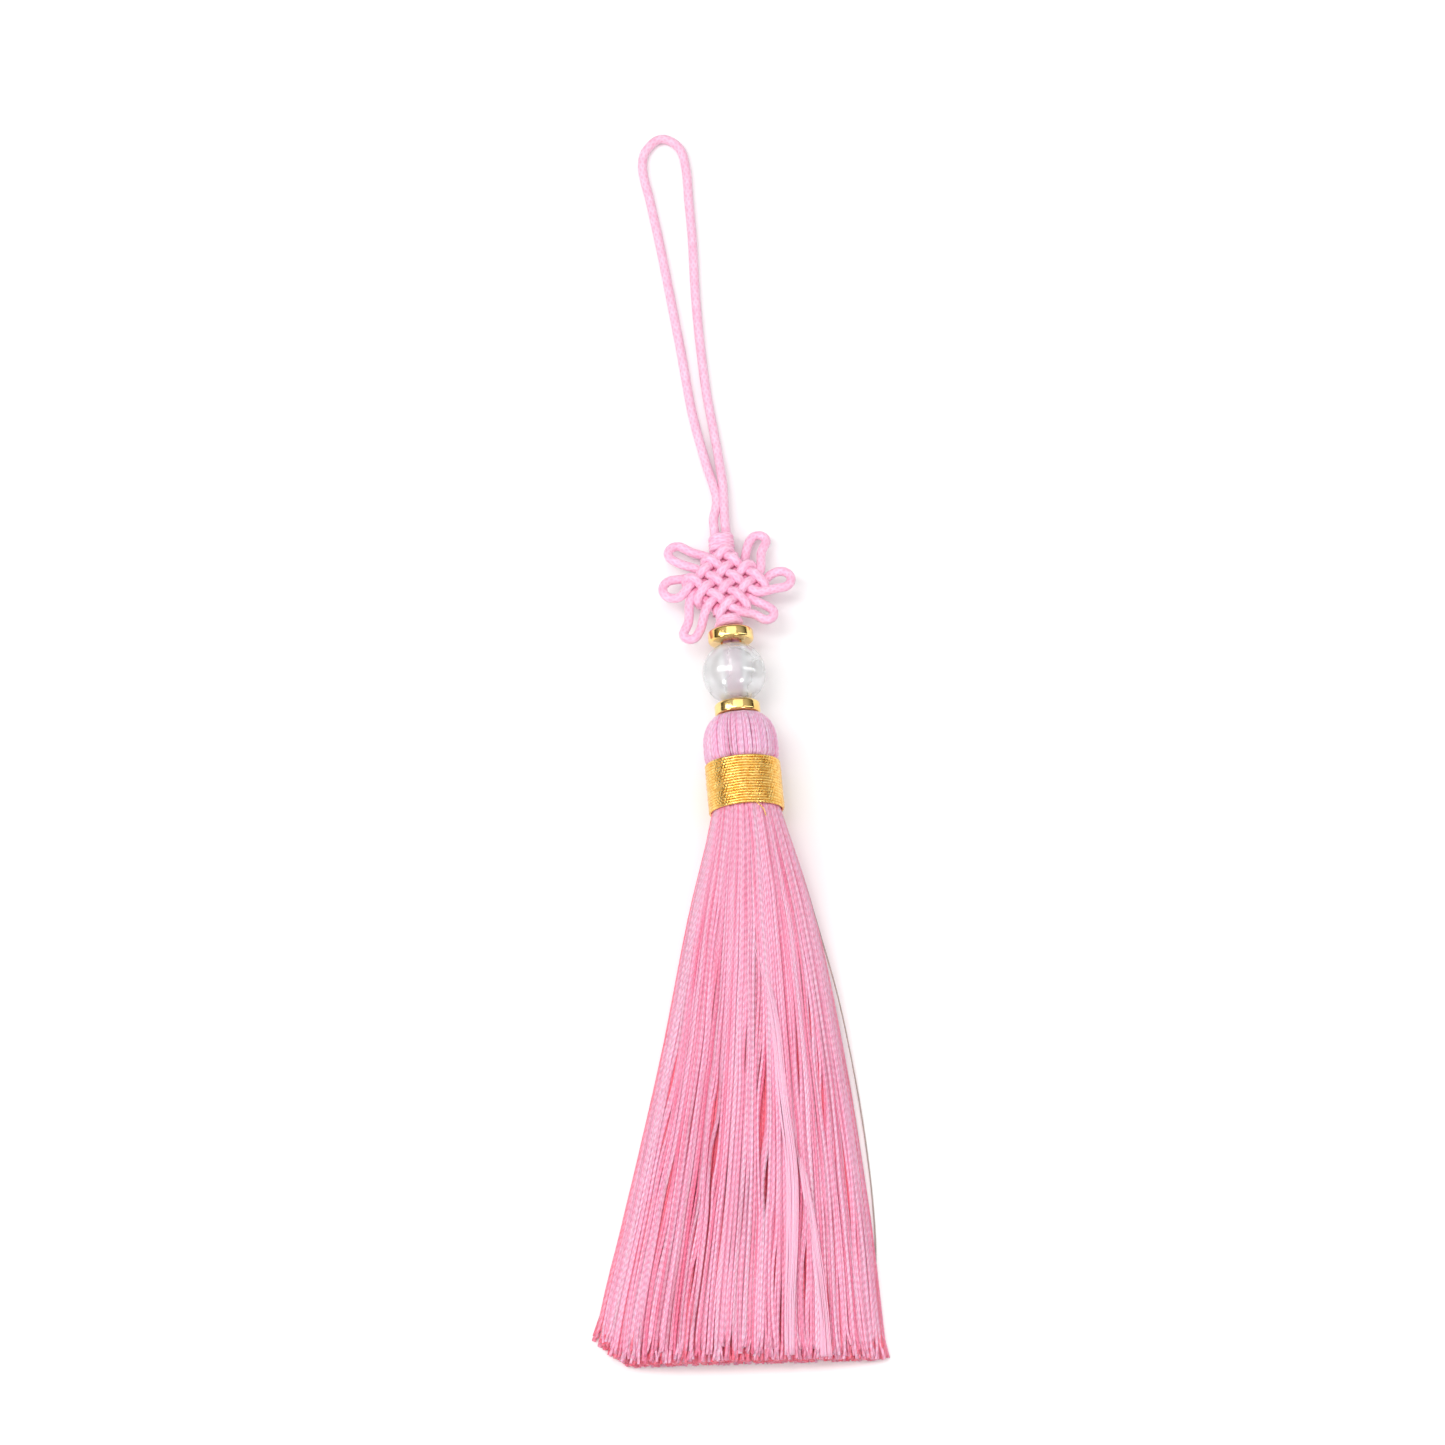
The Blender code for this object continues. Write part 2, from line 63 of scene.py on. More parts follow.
# %% Camera
MM = 0.001
CAMERA_PLACE = Vector((-6.15, -170.6, 687.5)) * MM
CAMERA_AIM = Vector((0.0, 34.5, 3.0)) * MM
LENS = 113

bpy.ops.object.camera_add(location=CAMERA_PLACE)
camera = bpy.context.object
camera.rotation_euler = (CAMERA_AIM - CAMERA_PLACE).to_track_quat("-Z", "Y").to_euler()
camera.data.lens = LENS
bpy.context.scene.camera = camera
print("camera", round((CAMERA_AIM - CAMERA_PLACE).length, 3), "m away")

# %% [markdown]
# ## Places along the tassel
#
# Head, band, discs and bead are threaded on one line. It could be drawn anew for each piece, but
# then they would drift apart. The band's solid gives the middle, and every place is counted from it
# along the head's axis, which lies level and turned a little to the left.

# %% Places along the axis
AXIS_Z = 5.9 * MM
HEAD_YAW = math.radians(3.3)
KNOT_PITCH = math.radians(14)
HALF_BAND = 4.15 * MM
GAP = 0.3 * MM
HEAD_TOP = 11.55 * MM


def middle_of(node):
    """The middle of a solid's box."""
    low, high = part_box(node)
    return (Vector(low) + Vector(high)) / 2


band_middle = middle_of("gold_band")
band_middle.z = AXIS_Z
HEAD_FRAME = Matrix.Translation(band_middle) @ Matrix.Rotation(HEAD_YAW, 4, "Z")
LOWER_DISC_AT, BEAD_AT, UPPER_DISC_AT = (
    (HEAD_FRAME.inverted() @ middle_of(node)).y for node in ("lower_disc", "glass_bead", "upper_disc")
)
print("bead", round(BEAD_AT / MM, 2), "mm from the band")

# %% Places of the ties and the knot
DISC_THICK = 2.0 * MM
LOWER_TIE_LENGTH, TOP_TIE_LENGTH = 2.4 * MM, 3.8 * MM
TIE_FROM_CENTRE, TOP_TIE_FROM_CENTRE = 6.9 * MM, 7.9 * MM
LOWER_TIE_AT = UPPER_DISC_AT + DISC_THICK / 2 + GAP + LOWER_TIE_LENGTH / 2
KNOT_AT = LOWER_TIE_AT + TIE_FROM_CENTRE * math.cos(KNOT_PITCH)
KNOT_SINK = TIE_FROM_CENTRE * math.sin(KNOT_PITCH)
TOP_TIE_AT = KNOT_AT + TOP_TIE_FROM_CENTRE * math.cos(KNOT_PITCH)
TOP_TIE_SINK = KNOT_SINK + TOP_TIE_FROM_CENTRE * math.sin(KNOT_PITCH)
ALONG_Y = Matrix.Rotation(math.radians(-90), 4, "X")


def on_axis(along, sink=0.0):
    """The frame of a threaded piece, with its own upright axis laid along the head's axis."""
    return HEAD_FRAME @ Matrix.Translation((0, along, -sink)) @ ALONG_Y


print("knot", round(KNOT_AT / MM, 2), "mm from the band")

# %% [markdown]
# ## Finishes
#
# A finish is a material whose pattern comes from nodes. Each could be wired by hand in the shader
# editor, but a short helper that adds one node with its settings and its links keeps each recipe
# readable. What is the same all over goes straight into the shader's own sockets.

# %% Helpers for finishes
TURN = 2 * math.pi
WAVE_UNIT = TURN / 10  # the scale at which a diagonal wave repeats once a unit


def new_finish(name, constants):
    """A material whose shader holds these constant values, ready for its pattern."""
    made = bpy.data.materials.new(name)
    made.use_nodes = True
    shader = made.node_tree.nodes["Principled BSDF"]
    for socket, value in constants.items():
        shader.inputs[socket].default_value = value
    return made, made.node_tree, shader


def node(tree, kind, inputs, **settings):
    """One node with its settings. An input is a constant or the output that feeds it."""
    made = tree.nodes.new(kind)
    for key, value in settings.items():
        setattr(made, key, value)
    for key, value in inputs.items():
        if isinstance(value, bpy.types.NodeSocket):
            tree.links.new(value, made.inputs[key])
        else:
            made.inputs[key].default_value = value
    return made


def maths(tree, operation, a, b=0.5):
    return node(tree, "ShaderNodeMath", {0: a, 1: b}, operation=operation).outputs[0]


def blend(tree, factor, a, b):
    """Two colours mixed by a factor."""
    made = node(tree, "ShaderNodeMix", {0: factor, 6: a, 7: b}, data_type="RGBA")
    return made.outputs[2]


def noise(tree, vector, scale, detail=2.0):
    made = node(tree, "ShaderNodeTexNoise", {"Vector": vector, "Scale": scale, "Detail": detail})
    return made.outputs["Fac"]


def between(tree, value, low, high, to_low=0.0, to_high=1.0):
    """A value stretched from one range to another, and kept inside it."""
    inputs = {"Value": value, "From Min": low, "From Max": high, "To Min": to_low, "To Max": to_high}
    return node(tree, "ShaderNodeMapRange", inputs).outputs["Result"]


def bump(tree, shader, height, depth, strength=1.0):
    """Raises the shader's surface by a height from 0 to 1, times a depth in metres."""
    made = node(tree, "ShaderNodeBump", {"Height": height, "Distance": depth, "Strength": strength})
    tree.links.new(made.outputs["Normal"], shader.inputs["Normal"])


print("finish helpers ready")

# %% [markdown]
# ## The cord's finish
#
# The cord is a thin round braid with a satin face. Its braid could be modelled, strand by strand,
# but at a millimetre and a half across it shows only as a fine herringbone. So two sets of slanting
# waves cross on the cord's own length and girth: where both are high a strand lies on top, and
# where both are low the groove gets painted shade. In the knot, cord that lies deep in the weave is
# painted darker too, as shade.

# %% Finish: braided cord
PINK, DEEP_PINK = (0.96, 0.58, 0.76, 1.0), (0.80, 0.20, 0.38, 1.0)
PALE_PINK = (0.90, 0.58, 0.73, 1.0)
BRAID_PITCH = 1.3 * MM
BRAID_STRANDS = 6


def cord_finish(name, length, colour):
    """A braided cord's finish, with painted shade in the braid's grooves and deep in the knot's weave. The
    braid follows the cord, so it needs the cord's length.
    """
    made, tree, shader = new_finish(
        name, {"Roughness": 0.5, "Sheen Weight": 0.35, "Sheen Roughness": 0.4, "IOR": 1.4}
    )
    place = node(tree, "ShaderNodeTexCoord", {})
    waves = []
    for slant in (-BRAID_STRANDS, BRAID_STRANDS):
        scaled = node(
            tree,
            "ShaderNodeMapping",
            {"Vector": place.outputs["UV"], "Scale": (length / BRAID_PITCH, slant, 0)},
        )
        wave = node(
            tree,
            "ShaderNodeTexWave",
            {"Vector": scaled.outputs["Vector"], "Scale": WAVE_UNIT},
            bands_direction="DIAGONAL",
        )
        waves.append(wave.outputs["Fac"])
    braid = maths(tree, "MAXIMUM", *waves)
    mottle = between(tree, noise(tree, place.outputs["Object"], 900.0, 3.0), 0.3, 0.7)
    base = blend(tree, between(tree, mottle, 0, 1, 0.0, 0.35), colour, DEEP_PINK)
    # painted shade: deeper pink in the braid's grooves
    base = blend(tree, between(tree, braid, 0.2, 0.9, 0.30, 0.0), base, DEEP_PINK)
    # painted shade: deeper pink where the cord lies deep inside the knot's weave
    deep = node(tree, "ShaderNodeAttribute", {}, attribute_name="deep").outputs["Fac"]
    base = blend(tree, between(tree, deep, 0.2, 0.85, 0.0, 0.8), base, DEEP_PINK)
    tree.links.new(base, shader.inputs["Base Color"])
    tree.links.new(between(tree, braid, 0, 1, 0.62, 0.42), shader.inputs["Roughness"])
    bump(tree, shader, braid, 0.05 * MM, 0.7)
    return made


print("cord finish ready")

# %% [markdown]
# ## Hanging loop
#
# The loop is one length of thin cord that leaves the top tie, lies on the table in a long narrow
# bend and comes back. It could be a rope that is simulated, but the way that it lies is known. So
# its route is a short list of points, with a smooth curve drawn through them, and the curve is
# given the cord's thickness.

# %% A smooth line through points


def smooth_line(points, step):
    """Points a step apart on a smooth curve through the given ones."""
    ends = [points[0] * 2 - points[1], *points, points[-1] * 2 - points[-2]]
    fine = []
    for a, b, c, d in zip(ends, ends[1:], ends[2:], ends[3:]):
        for i in range(12):
            t = i / 12
            bend = (2 * a - 5 * b + 4 * c - d) * t**2 + (3 * b - a - 3 * c + d) * t**3
            fine.append(0.5 * (2 * b + (c - a) * t + bend))
    fine.append(points[-1])
    lengths = [0.0]
    for a, b in zip(fine, fine[1:]):
        lengths.append(lengths[-1] + (b - a).length)
    count = max(2, round(lengths[-1] / step))
    line, k = [], 0
    for i in range(count + 1):
        wanted = lengths[-1] * i / count
        while k < len(fine) - 2 and lengths[k + 1] < wanted:
            k += 1
        part = (wanted - lengths[k]) / max(lengths[k + 1] - lengths[k], 1e-12)
        line.append(fine[k].lerp(fine[k + 1], min(1.0, part)))
    return line


def length_of(line):
    return sum((b - a).length for a, b in zip(line, line[1:]))


print("a straight line of 3 mm in", len(smooth_line([Vector((0, 0, 0)), Vector((3, 0, 0))], 1)), "points")

# %% Cords as curves


def cord_curve(name, lines, thickness, sides=3):
    """A curve object with one open run of cord for each line."""
    curve = bpy.data.curves.new(name, "CURVE")
    curve.dimensions = "3D"
    curve.bevel_depth = thickness / 2
    curve.bevel_resolution = sides
    curve.use_fill_caps = True
    for line in lines:
        run = curve.splines.new("POLY")
        run.points.add(len(line) - 1)
        for point, place in zip(run.points, line):
            point.co = (*place, 1)
    made = bpy.data.objects.new(name, curve)
    bpy.context.collection.objects.link(made)
    return made


def as_mesh(made):
    """Turns a curve object into a mesh and closes its caps."""
    bpy.ops.object.select_all(action="DESELECT")
    bpy.context.view_layer.objects.active = made
    made.select_set(True)
    bpy.ops.object.convert(target="MESH")
    bpy.ops.object.mode_set(mode="EDIT")
    bpy.ops.mesh.select_all(action="SELECT")
    bpy.ops.mesh.remove_doubles(threshold=0.001 * MM)
    bpy.ops.mesh.normals_make_consistent(inside=False)
    bpy.ops.object.mode_set(mode="OBJECT")
    bpy.ops.object.shade_smooth_by_angle(angle=math.radians(50))
    return made


def dress(made, finish, slot, *nodes):
    """Gives a piece its finish and its body, and hides the solids that it stands for."""
    made.data.materials.clear()
    made.data.materials.append(finish)
    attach(made, "root")
    if nodes:
        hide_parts(*nodes)


print("cord helpers ready")

# %% The loop's route
LOOP_ROUTE = (
    (-2.95, 49.5, 2),
    (-4.55, 56, 1.2),
    (-6.45, 64.6, 0.8),
    (-7.95, 75.1, 0.8),
    (-9.35, 84.2, 0.8),
    (-10.75, 93.1, 0.8),
    (-12.25, 101.5, 0.8),
    (-13.35, 107.2, 0.8),
    (-12.75, 110.6, 0.8),
    (-10.15, 112.7, 0.8),
    (-7.25, 111, 0.8),
    (-6.25, 107.2, 0.8),
    (-5.95, 101.7, 0.8),
    (-5.55, 94.5, 0.8),
    (-5.35, 85.5, 0.8),
    (-4.85, 76.9, 0.8),
    (-4.05, 68.1, 0.8),
    (-3.05, 61.2, 0.95),
    (-1.95, 52.6, 1.75),
)
LOOP_CORD = 1.5 * MM
LEG_OFFSET = 0.9 * MM
LOOP_STEP = 0.7 * MM

tie_end = TOP_TIE_AT + TOP_TIE_LENGTH / 2 + GAP
legs = []
for side in (-1, 1):
    starts = [Vector((side * LEG_OFFSET, tie_end + along, -TOP_TIE_SINK)) for along in (0, 2 * MM)]
    legs.append([HEAD_FRAME @ start for start in starts])
on_floor = Vector((band_middle.x, band_middle.y, 0))
route = [on_floor + Vector(row) * MM for row in LOOP_ROUTE]
loop_line = smooth_line(legs[0] + route + legs[1][::-1], LOOP_STEP)
loop_length = length_of(loop_line)
print("loop", round(loop_length / MM, 1), "mm of cord")

# %% The loop
loop = cord_curve("loop_cord", [loop_line], LOOP_CORD, 4)
dress(loop, cord_finish("loop_braid", loop_length, PALE_PINK), "pink_cord", "hanging_loop")
print("loop made of", len(loop_line), "points")

# %% [markdown]
# ## Threads by the hundred
#
# A tassel is hundreds of threads. Drawing each would take days, and a particle system gives no
# mesh. Instead one straight thread is drawn up ring by ring, an array sets copies in a row, and
# then every ring of every copy is moved to its place on that thread's own line. The lines come
# from a formula, so each thread can have its own bend, thickness, tone and cut end.

# %% A row of straight threads
ROW_PITCH = 2.0  # straight threads are one unit thick and stand two apart


def thread_row(name, count, sides, rings):
    """Straight upright threads in a row along X, with a ring of points at each whole height."""
    bpy.ops.mesh.primitive_circle_add(vertices=sides, radius=0.5, fill_type="NGON")
    row = bpy.context.object
    row.name = name
    row.data.name = name
    bpy.ops.object.mode_set(mode="EDIT")
    bpy.ops.mesh.select_all(action="SELECT")
    for _ in range(rings - 1):
        bpy.ops.mesh.extrude_region_move(TRANSFORM_OT_translate={"value": (0, 0, 1)})
    bpy.ops.mesh.select_all(action="SELECT")
    bpy.ops.mesh.normals_make_consistent(inside=False)
    bpy.ops.object.mode_set(mode="OBJECT")
    copies = row.modifiers.new("copies", "ARRAY")
    copies.count = count
    copies.use_relative_offset = False
    copies.use_constant_offset = True
    copies.constant_offset_displace = (ROW_PITCH, 0, 0)
    bpy.ops.object.modifier_apply(modifier=copies.name)
    row.data.shade_smooth()
    return row


print("thread rows ready")

# %% Laying a row of threads on its lines


def unit(vectors):
    return vectors / np.linalg.norm(vectors, axis=-1, keepdims=True)


def lay_threads(row, lines, outward, thickness, tone_and_shade):
    """Moves each ring to its thread's line, and keeps length, girth and tone for the finish.

    The arrays go by thread and ring. The twist starts at another place on each thread.
    """
    mesh = row.data
    points = np.empty(len(mesh.vertices) * 3)
    mesh.vertices.foreach_get("co", points)
    points = points.reshape(-1, 3)
    thread = np.rint(points[:, 0] / ROW_PITCH).astype(int)
    ring = np.rint(points[:, 2]).astype(int)
    across = points[:, 0] - thread * ROW_PITCH
    up = points[:, 1]

    way = unit(np.gradient(lines, axis=1))
    side = unit(np.cross(way, outward))
    rise = np.cross(side, way)
    spread = across[:, None] * side[thread, ring] + up[:, None] * rise[thread, ring]
    placed = lines[thread, ring] + spread * thickness[thread, ring][:, None]
    placed[:, 2] = np.maximum(placed[:, 2], 0.02 * MM)
    mesh.vertices.foreach_set("co", placed.ravel())

    steps = np.linalg.norm(np.diff(lines, axis=1), axis=2)
    travelled = np.concatenate([np.zeros((len(lines), 1)), np.cumsum(steps, axis=1)], axis=1)
    travelled = travelled + 37.0 * tone_and_shade[:, :1]
    girth = np.arctan2(up, across) / TURN + 0.5
    write_map(mesh, travelled[thread, ring] / MM, girth)
    tones = mesh.attributes.new("tone_and_shade", "FLOAT", "POINT")
    tones.data.foreach_set("value", tone_and_shade[thread, ring].astype(np.float32))
    mesh.update()


def write_map(mesh, along, girth):
    """The map of a thread: its length in millimetres, and its girth from 0 to 1."""
    corners = np.empty(len(mesh.loops), dtype=np.int32)
    mesh.loops.foreach_get("vertex_index", corners)
    starts = np.empty(len(mesh.polygons), dtype=np.int32)
    mesh.polygons.foreach_get("loop_start", starts)
    face = np.zeros(len(mesh.loops), dtype=np.int32)
    face[starts[1:]] = 1
    face = np.cumsum(face)
    turned = girth[corners]
    widest = np.zeros(len(starts))
    np.maximum.at(widest, face, turned)
    turned = np.where(widest[face] - turned > 0.5, turned + 1.0, turned)
    layer = mesh.uv_layers.active or mesh.uv_layers.new(name="UVMap")
    layer.data.foreach_set("uv", np.stack([along[corners], turned], axis=1).ravel())


print("thread laying ready")

# %% [markdown]
# ## The silk's finish
#
# Each silk thread is two plies twisted together, so it shows a fine slanting groove along its whole
# length. The groove could be cut into the mesh, but with hundreds of threads that costs millions of
# faces. It is a wave on the thread's own length and girth instead: it bumps the surface, and shade
# is painted into the groove. The tone that each thread carries makes it paler or deeper than its
# neighbours, as dyed silk is. In the skirt's inner parts and the head's under layer it is lowered
# further as painted shade.

# %% Finish: twisted silk
PLY_PITCH = 1.15  # millimetres of thread for one turn of the twist


def silk_finish(name, deep, middle, pale, twist=1.0):
    """Dyed silk thread: three tones, a twist groove with painted shade in it, and a soft sheen."""
    made, tree, shader = new_finish(
        name,
        {
            "Roughness": 0.42,
            "Sheen Weight": 0.25,
            "Sheen Roughness": 0.35,
            "IOR": 1.45,
            "Subsurface Weight": 0.3,
            "Subsurface Radius": (1.0, 0.25, 0.35),
            "Subsurface Scale": 0.6 * MM,
        },
    )
    place = node(tree, "ShaderNodeTexCoord", {})
    tone_and_shade = node(tree, "ShaderNodeAttribute", {}, attribute_name="tone_and_shade").outputs["Fac"]
    scaled = node(
        tree, "ShaderNodeMapping", {"Vector": place.outputs["UV"], "Scale": (1 / PLY_PITCH, 2, 0)}
    )
    ply = node(
        tree,
        "ShaderNodeTexWave",
        {"Vector": scaled.outputs["Vector"], "Scale": WAVE_UNIT},
        bands_direction="DIAGONAL",
    ).outputs["Fac"]
    length = node(tree, "ShaderNodeSeparateXYZ", {"Vector": place.outputs["UV"]}).outputs["X"]
    run = node(
        tree,
        "ShaderNodeCombineXYZ",
        {"X": maths(tree, "MULTIPLY", length, 0.07), "Y": maths(tree, "MULTIPLY", tone_and_shade, 90.0)},
    ).outputs["Vector"]
    drift = noise(tree, run, 1.0, 2.0)
    fleck = noise(tree, place.outputs["Object"], 2600.0, 2.0)
    mixed = maths(tree, "ADD", tone_and_shade, between(tree, drift, 0.3, 0.7, -0.22, 0.22))
    low = blend(tree, between(tree, mixed, 0.0, 0.5), deep, middle)
    base = blend(tree, between(tree, mixed, 0.5, 1.0), low, pale)
    # painted shade: the twist's groove is darkened towards the deep tone
    base = blend(tree, between(tree, ply, 0.0, 0.55, 0.42 * twist, 0.0), base, deep)
    base = blend(tree, between(tree, fleck, 0.55, 0.75, 0.0, 0.30), base, pale)
    tree.links.new(base, shader.inputs["Base Color"])
    tree.links.new(between(tree, ply, 0, 1, 0.58, 0.36), shader.inputs["Roughness"])
    bump(tree, shader, ply, 0.08 * MM, 0.8 * twist)
    return made


# deep, middle and pale tone of each
SKIRT_TONES = (0.80, 0.16, 0.28, 1), (0.93, 0.39, 0.55, 1), (0.97, 0.55, 0.70, 1)
HEAD_TONES = (0.82, 0.26, 0.42, 1), (0.92, 0.43, 0.63, 1), (0.96, 0.60, 0.77, 1)
FLAT_TONES = (0.88, 0.34, 0.48, 1), (0.93, 0.45, 0.60, 1), (0.96, 0.55, 0.70, 1)
# painted shade: the skirt's own floss, painted deeper red-pink where it lies in shade between threads
PAINTED_SHADE_TONES = (0.92, 0.13, 0.20, 1), (0.97, 0.24, 0.34, 1), (0.95, 0.37, 0.52, 1)
SKIRT_SILK = silk_finish("skirt_silk", *SKIRT_TONES)
HEAD_SILK = silk_finish("head_silk", *HEAD_TONES)
FLAT_SILK = silk_finish("flat_silk", *FLAT_TONES, twist=0.2)
PAINTED_SHADE_SILK = silk_finish("painted_shade_silk", *PAINTED_SHADE_TONES)
print("silk finishes:", SKIRT_SILK.name, HEAD_SILK.name, FLAT_SILK.name, PAINTED_SHADE_SILK.name)

# %% [markdown]
# ## Skirt
#
# The skirt's threads leave the neck as a round bundle and flatten as they fan out on the table. Its
# shape could be sculpted, but the threads must follow it. So a short table gives the section at
# a few distances from the band: how wide it is, how high its edges lie and how far it bulges up and
# down. A smooth curve runs through the rows.

# %% The skirt's sections
# distance from the band, centre from the band, half width, height of the edges, sag, rise
SKIRT_ROWS = np.array(
    (
        (-6.0, -0.05, 4.9, 5.9, 4.9, 4.9),
        (-0.6, 0.2, 5.1, 5.9, 5.1, 5.1),
        (1.2, 0.3, 5.5, 5.9, 5.5, 5.5),
        (6.0, 0.45, 6.9, 4.9, 4.85, 5.5),
        (12.0, 0.5, 8.7, 3.4, 3.4, 5.4),
        (37.0, 0.0, 13.9, 0.8, 0.8, 6.2),
        (62.0, -1.7, 18.6, 0.25, 0.25, 5.9),
        (80.0, -3.3, 21.6, 0.25, 0.25, 5.0),
        (88.0, -3.7, 22.6, 0.25, 0.25, 4.6),
    )
)
CUT_AT = 85.2


def section_at(distance):
    """The section's values at each distance, on a smooth curve through the rows."""
    places, values = SKIRT_ROWS[:, 0], SKIRT_ROWS[:, 1:]
    slopes = np.gradient(values, places, axis=0)
    row = np.clip(np.searchsorted(places, distance, side="right") - 1, 0, len(places) - 2)
    span = (places[row + 1] - places[row])[..., None]
    t = (distance - places[row])[..., None] / span
    start = (2 * t**3 - 3 * t**2 + 1) * values[row] + (t**3 - 2 * t**2 + t) * span * slopes[row]
    end = (3 * t**2 - 2 * t**3) * values[row + 1] + (t**3 - t**2) * span * slopes[row + 1]
    return np.moveaxis(start + end, -1, 0)


def skirt_place(across, up, distance):
    """A place in the skirt, in millimetres from the floor under the band: across -1 to 1, up 0 to 1."""
    centre, half_width, edge, sag, rise = section_at(distance)
    bulge = np.sqrt(np.clip(1 - across**2, 0.0, 1.0))
    low, high = edge - sag * bulge, edge + rise * bulge
    y = -HALF_BAND / MM - distance
    return np.stack([centre + across * half_width, y, low + up * (high - low)], axis=-1)


print("skirt's width at its cut end:", round(2 * float(section_at(np.array(CUT_AT))[1]), 1), "mm")

# %% [markdown]
# ### Slits and cut ends
#
# Silk clings together in locks, and between locks dark slits open. They could be painted, but then
# no light would fall into them. So the upper threads are pushed aside along a few lines, and the
# shadow does the rest. The ends were cut with scissors: most stop at one line, some stop short, the
# outer left ones most, and the last millimetres of each curl a little.

# %% Slits between the locks
# where a slit starts and ends (from the band's middle, distance from the band), and its half width
SLITS = (
    (0.95, 19.0, 1.2, 63.0, 0.62),
    (4.9, 14.0, 7.3, 49.0, 0.40),
    (7.4, 22.0, 11.9, 56.0, 0.34),
    (-4.6, 12.0, -6.2, 34.0, 0.28),
    (-6.0, 40.0, -6.6, 62.0, 0.34),
    (-1.0, 26.0, -1.3, 42.0, 0.28),
    (6.3, 54.0, 7.2, 84.0, 0.55),
    (-11.0, 30.0, -15.2, 60.0, 0.26),
    (-12.5, 52.0, -17.5, 84.0, 0.30),
    (-9.0, 58.0, -11.0, 80.0, 0.26),
    (2.4, 62.0, 2.2, 80.0, 0.28),
    (12.6, 44.0, 15.6, 76.0, 0.26),
)


def open_slits(x, distance):
    """How far a thread at x is pushed aside by the slits near it."""
    push = np.zeros_like(x)
    for x_start, start, x_end, end, half_width in SLITS:
        part = (distance - start) / (end - start)
        window = np.clip(4 * part * (1 - part), 0, 1) ** 0.6
        off = x - (x_start + (x_end - x_start) * part)
        push += half_width * window * np.tanh(off / 0.18) * np.exp(-((off / 1.5) ** 2))
    return push


print(len(SLITS), "slits")

# %% Lines of the skirt's threads
OUTLINE = 0.985


def ring_distances(rings, ends):
    """Each thread's rings: even along the thread, and closer over the last millimetres."""
    share = np.linspace(0.0, 1.0, rings) ** 0.9
    return -5.0 + (ends[:, None] + 5.0) * share[None, :]


def skirt_lines(columns, layers, top, bottom, rings, draw, slits):
    """Lines in millimetres for one part of the skirt's depth, and each thread's place across."""
    count = columns * layers
    layer, column = np.divmod(np.arange(count), columns)
    column = column + (layer % 3) / 3 - 0.33 + draw.uniform(-0.32, 0.32, count)
    across = np.clip((column + 0.5) / columns * 2 - 1, -1, 1) * OUTLINE
    up = top - (layer + 0.5 + draw.uniform(-0.45, 0.45, count)) / layers * (top - bottom)
    outer = np.clip(-across - 0.7, 0, 1) / 0.3
    ends = CUT_AT - 2.4 * draw.uniform(0, 1, count) ** 2.5 - 4.5 * outer**1.5
    distance = ring_distances(rings, ends)

    drift = draw.uniform(-0.022, 0.022, (count, 1))
    wander = draw.uniform(-0.010, 0.010, (count, 1)) * np.sin(
        distance / draw.uniform(5, 11, (count, 1)) + draw.uniform(0, TURN, (count, 1))
    )
    grown = np.clip(distance / 60, 0, 1)
    sideways = np.clip(across[:, None] + (drift + wander) * grown, -1, 1)
    lines = skirt_place(sideways, up[:, None] * np.ones_like(distance), distance)
    if slits:
        lines[..., 0] += open_slits(lines[..., 0], distance)

    to_end = np.clip((distance - ends[:, None] + 3.2) / 3.2, 0, 1) ** 2
    lines[..., 0] += to_end * draw.uniform(-0.55, 0.55, (count, 1))
    lines[..., 2] += to_end * draw.uniform(-0.7, 0.35, (count, 1))
    return lines, across


print("skirt lines ready")

# %% The skirt's threads
THREAD = 0.46


def skirt_part(name, size, depth, mesh_size, seed, width, finish, inside=0.0, slits=False):
    """One part of the skirt's depth, as one mesh of threads. Inside it, the silk is painted a deeper pink
    as shade.
    """
    draw = np.random.default_rng(seed)
    sides, rings = mesh_size
    lines, across = skirt_lines(*size, *depth, rings, draw, slits)
    count = len(lines)
    thickness = np.full(lines.shape[:2], width) * draw.uniform(0.85, 1.12, (count, 1))
    lines[..., 2] = np.maximum(lines[..., 2], thickness / 2 + 0.03)
    outward = np.zeros_like(lines)
    outward[..., 2] = 1.0
    # painted shade: away from the side edges the tone is lowered, less so near the cut ends
    painted_shade = inside * np.clip((0.95 - np.abs(across)) / 0.15, 0, 1)
    to_end = np.linspace(0, 1, rings) ** 14
    tone_and_shade = draw.normal(0.52, 0.2, (count, 1)) - painted_shade[:, None] * (1 - 0.7 * to_end)
    row = thread_row(name, count, sides, rings)
    world = lines * MM + np.array(on_floor)
    lay_threads(row, world, outward, thickness * MM, tone_and_shade)
    dress(row, finish, "silk_floss", "floss_tassel")
    return row


# columns and layers, upper and lower end of its depth, sides and rings, seed, thickness
for part in (
    skirt_part("skirt_upper_threads", (72, 3), (1.0, 0.90), (8, 42), 1, THREAD, SKIRT_SILK, slits=True),
    # painted shade: the two parts under the top threads wear the painted shade silk
    skirt_part("skirt_second_threads", (60, 4), (0.90, 0.74), (6, 30), 2, 0.52, PAINTED_SHADE_SILK, inside=0.4),
    skirt_part("skirt_middle_threads", (46, 9), (0.74, 0.22), (5, 24), 3, 0.75, PAINTED_SHADE_SILK, inside=0.6),
    skirt_part("skirt_lower_threads", (46, 5), (0.22, 0.0), (6, 30), 4, THREAD, SKIRT_SILK),
):
    print(part.name, "threads' faces:", len(part.data.polygons))

# %% [markdown]
# ### Untwisted strands and a stray fibre
#
# Two strands lie on the skirt that have lost their twist. They are flat, paler and glossier, like
# ribbons of loose filaments, so each is made as a few fine threads side by side. One thin fibre has
# sprung away from the right edge.

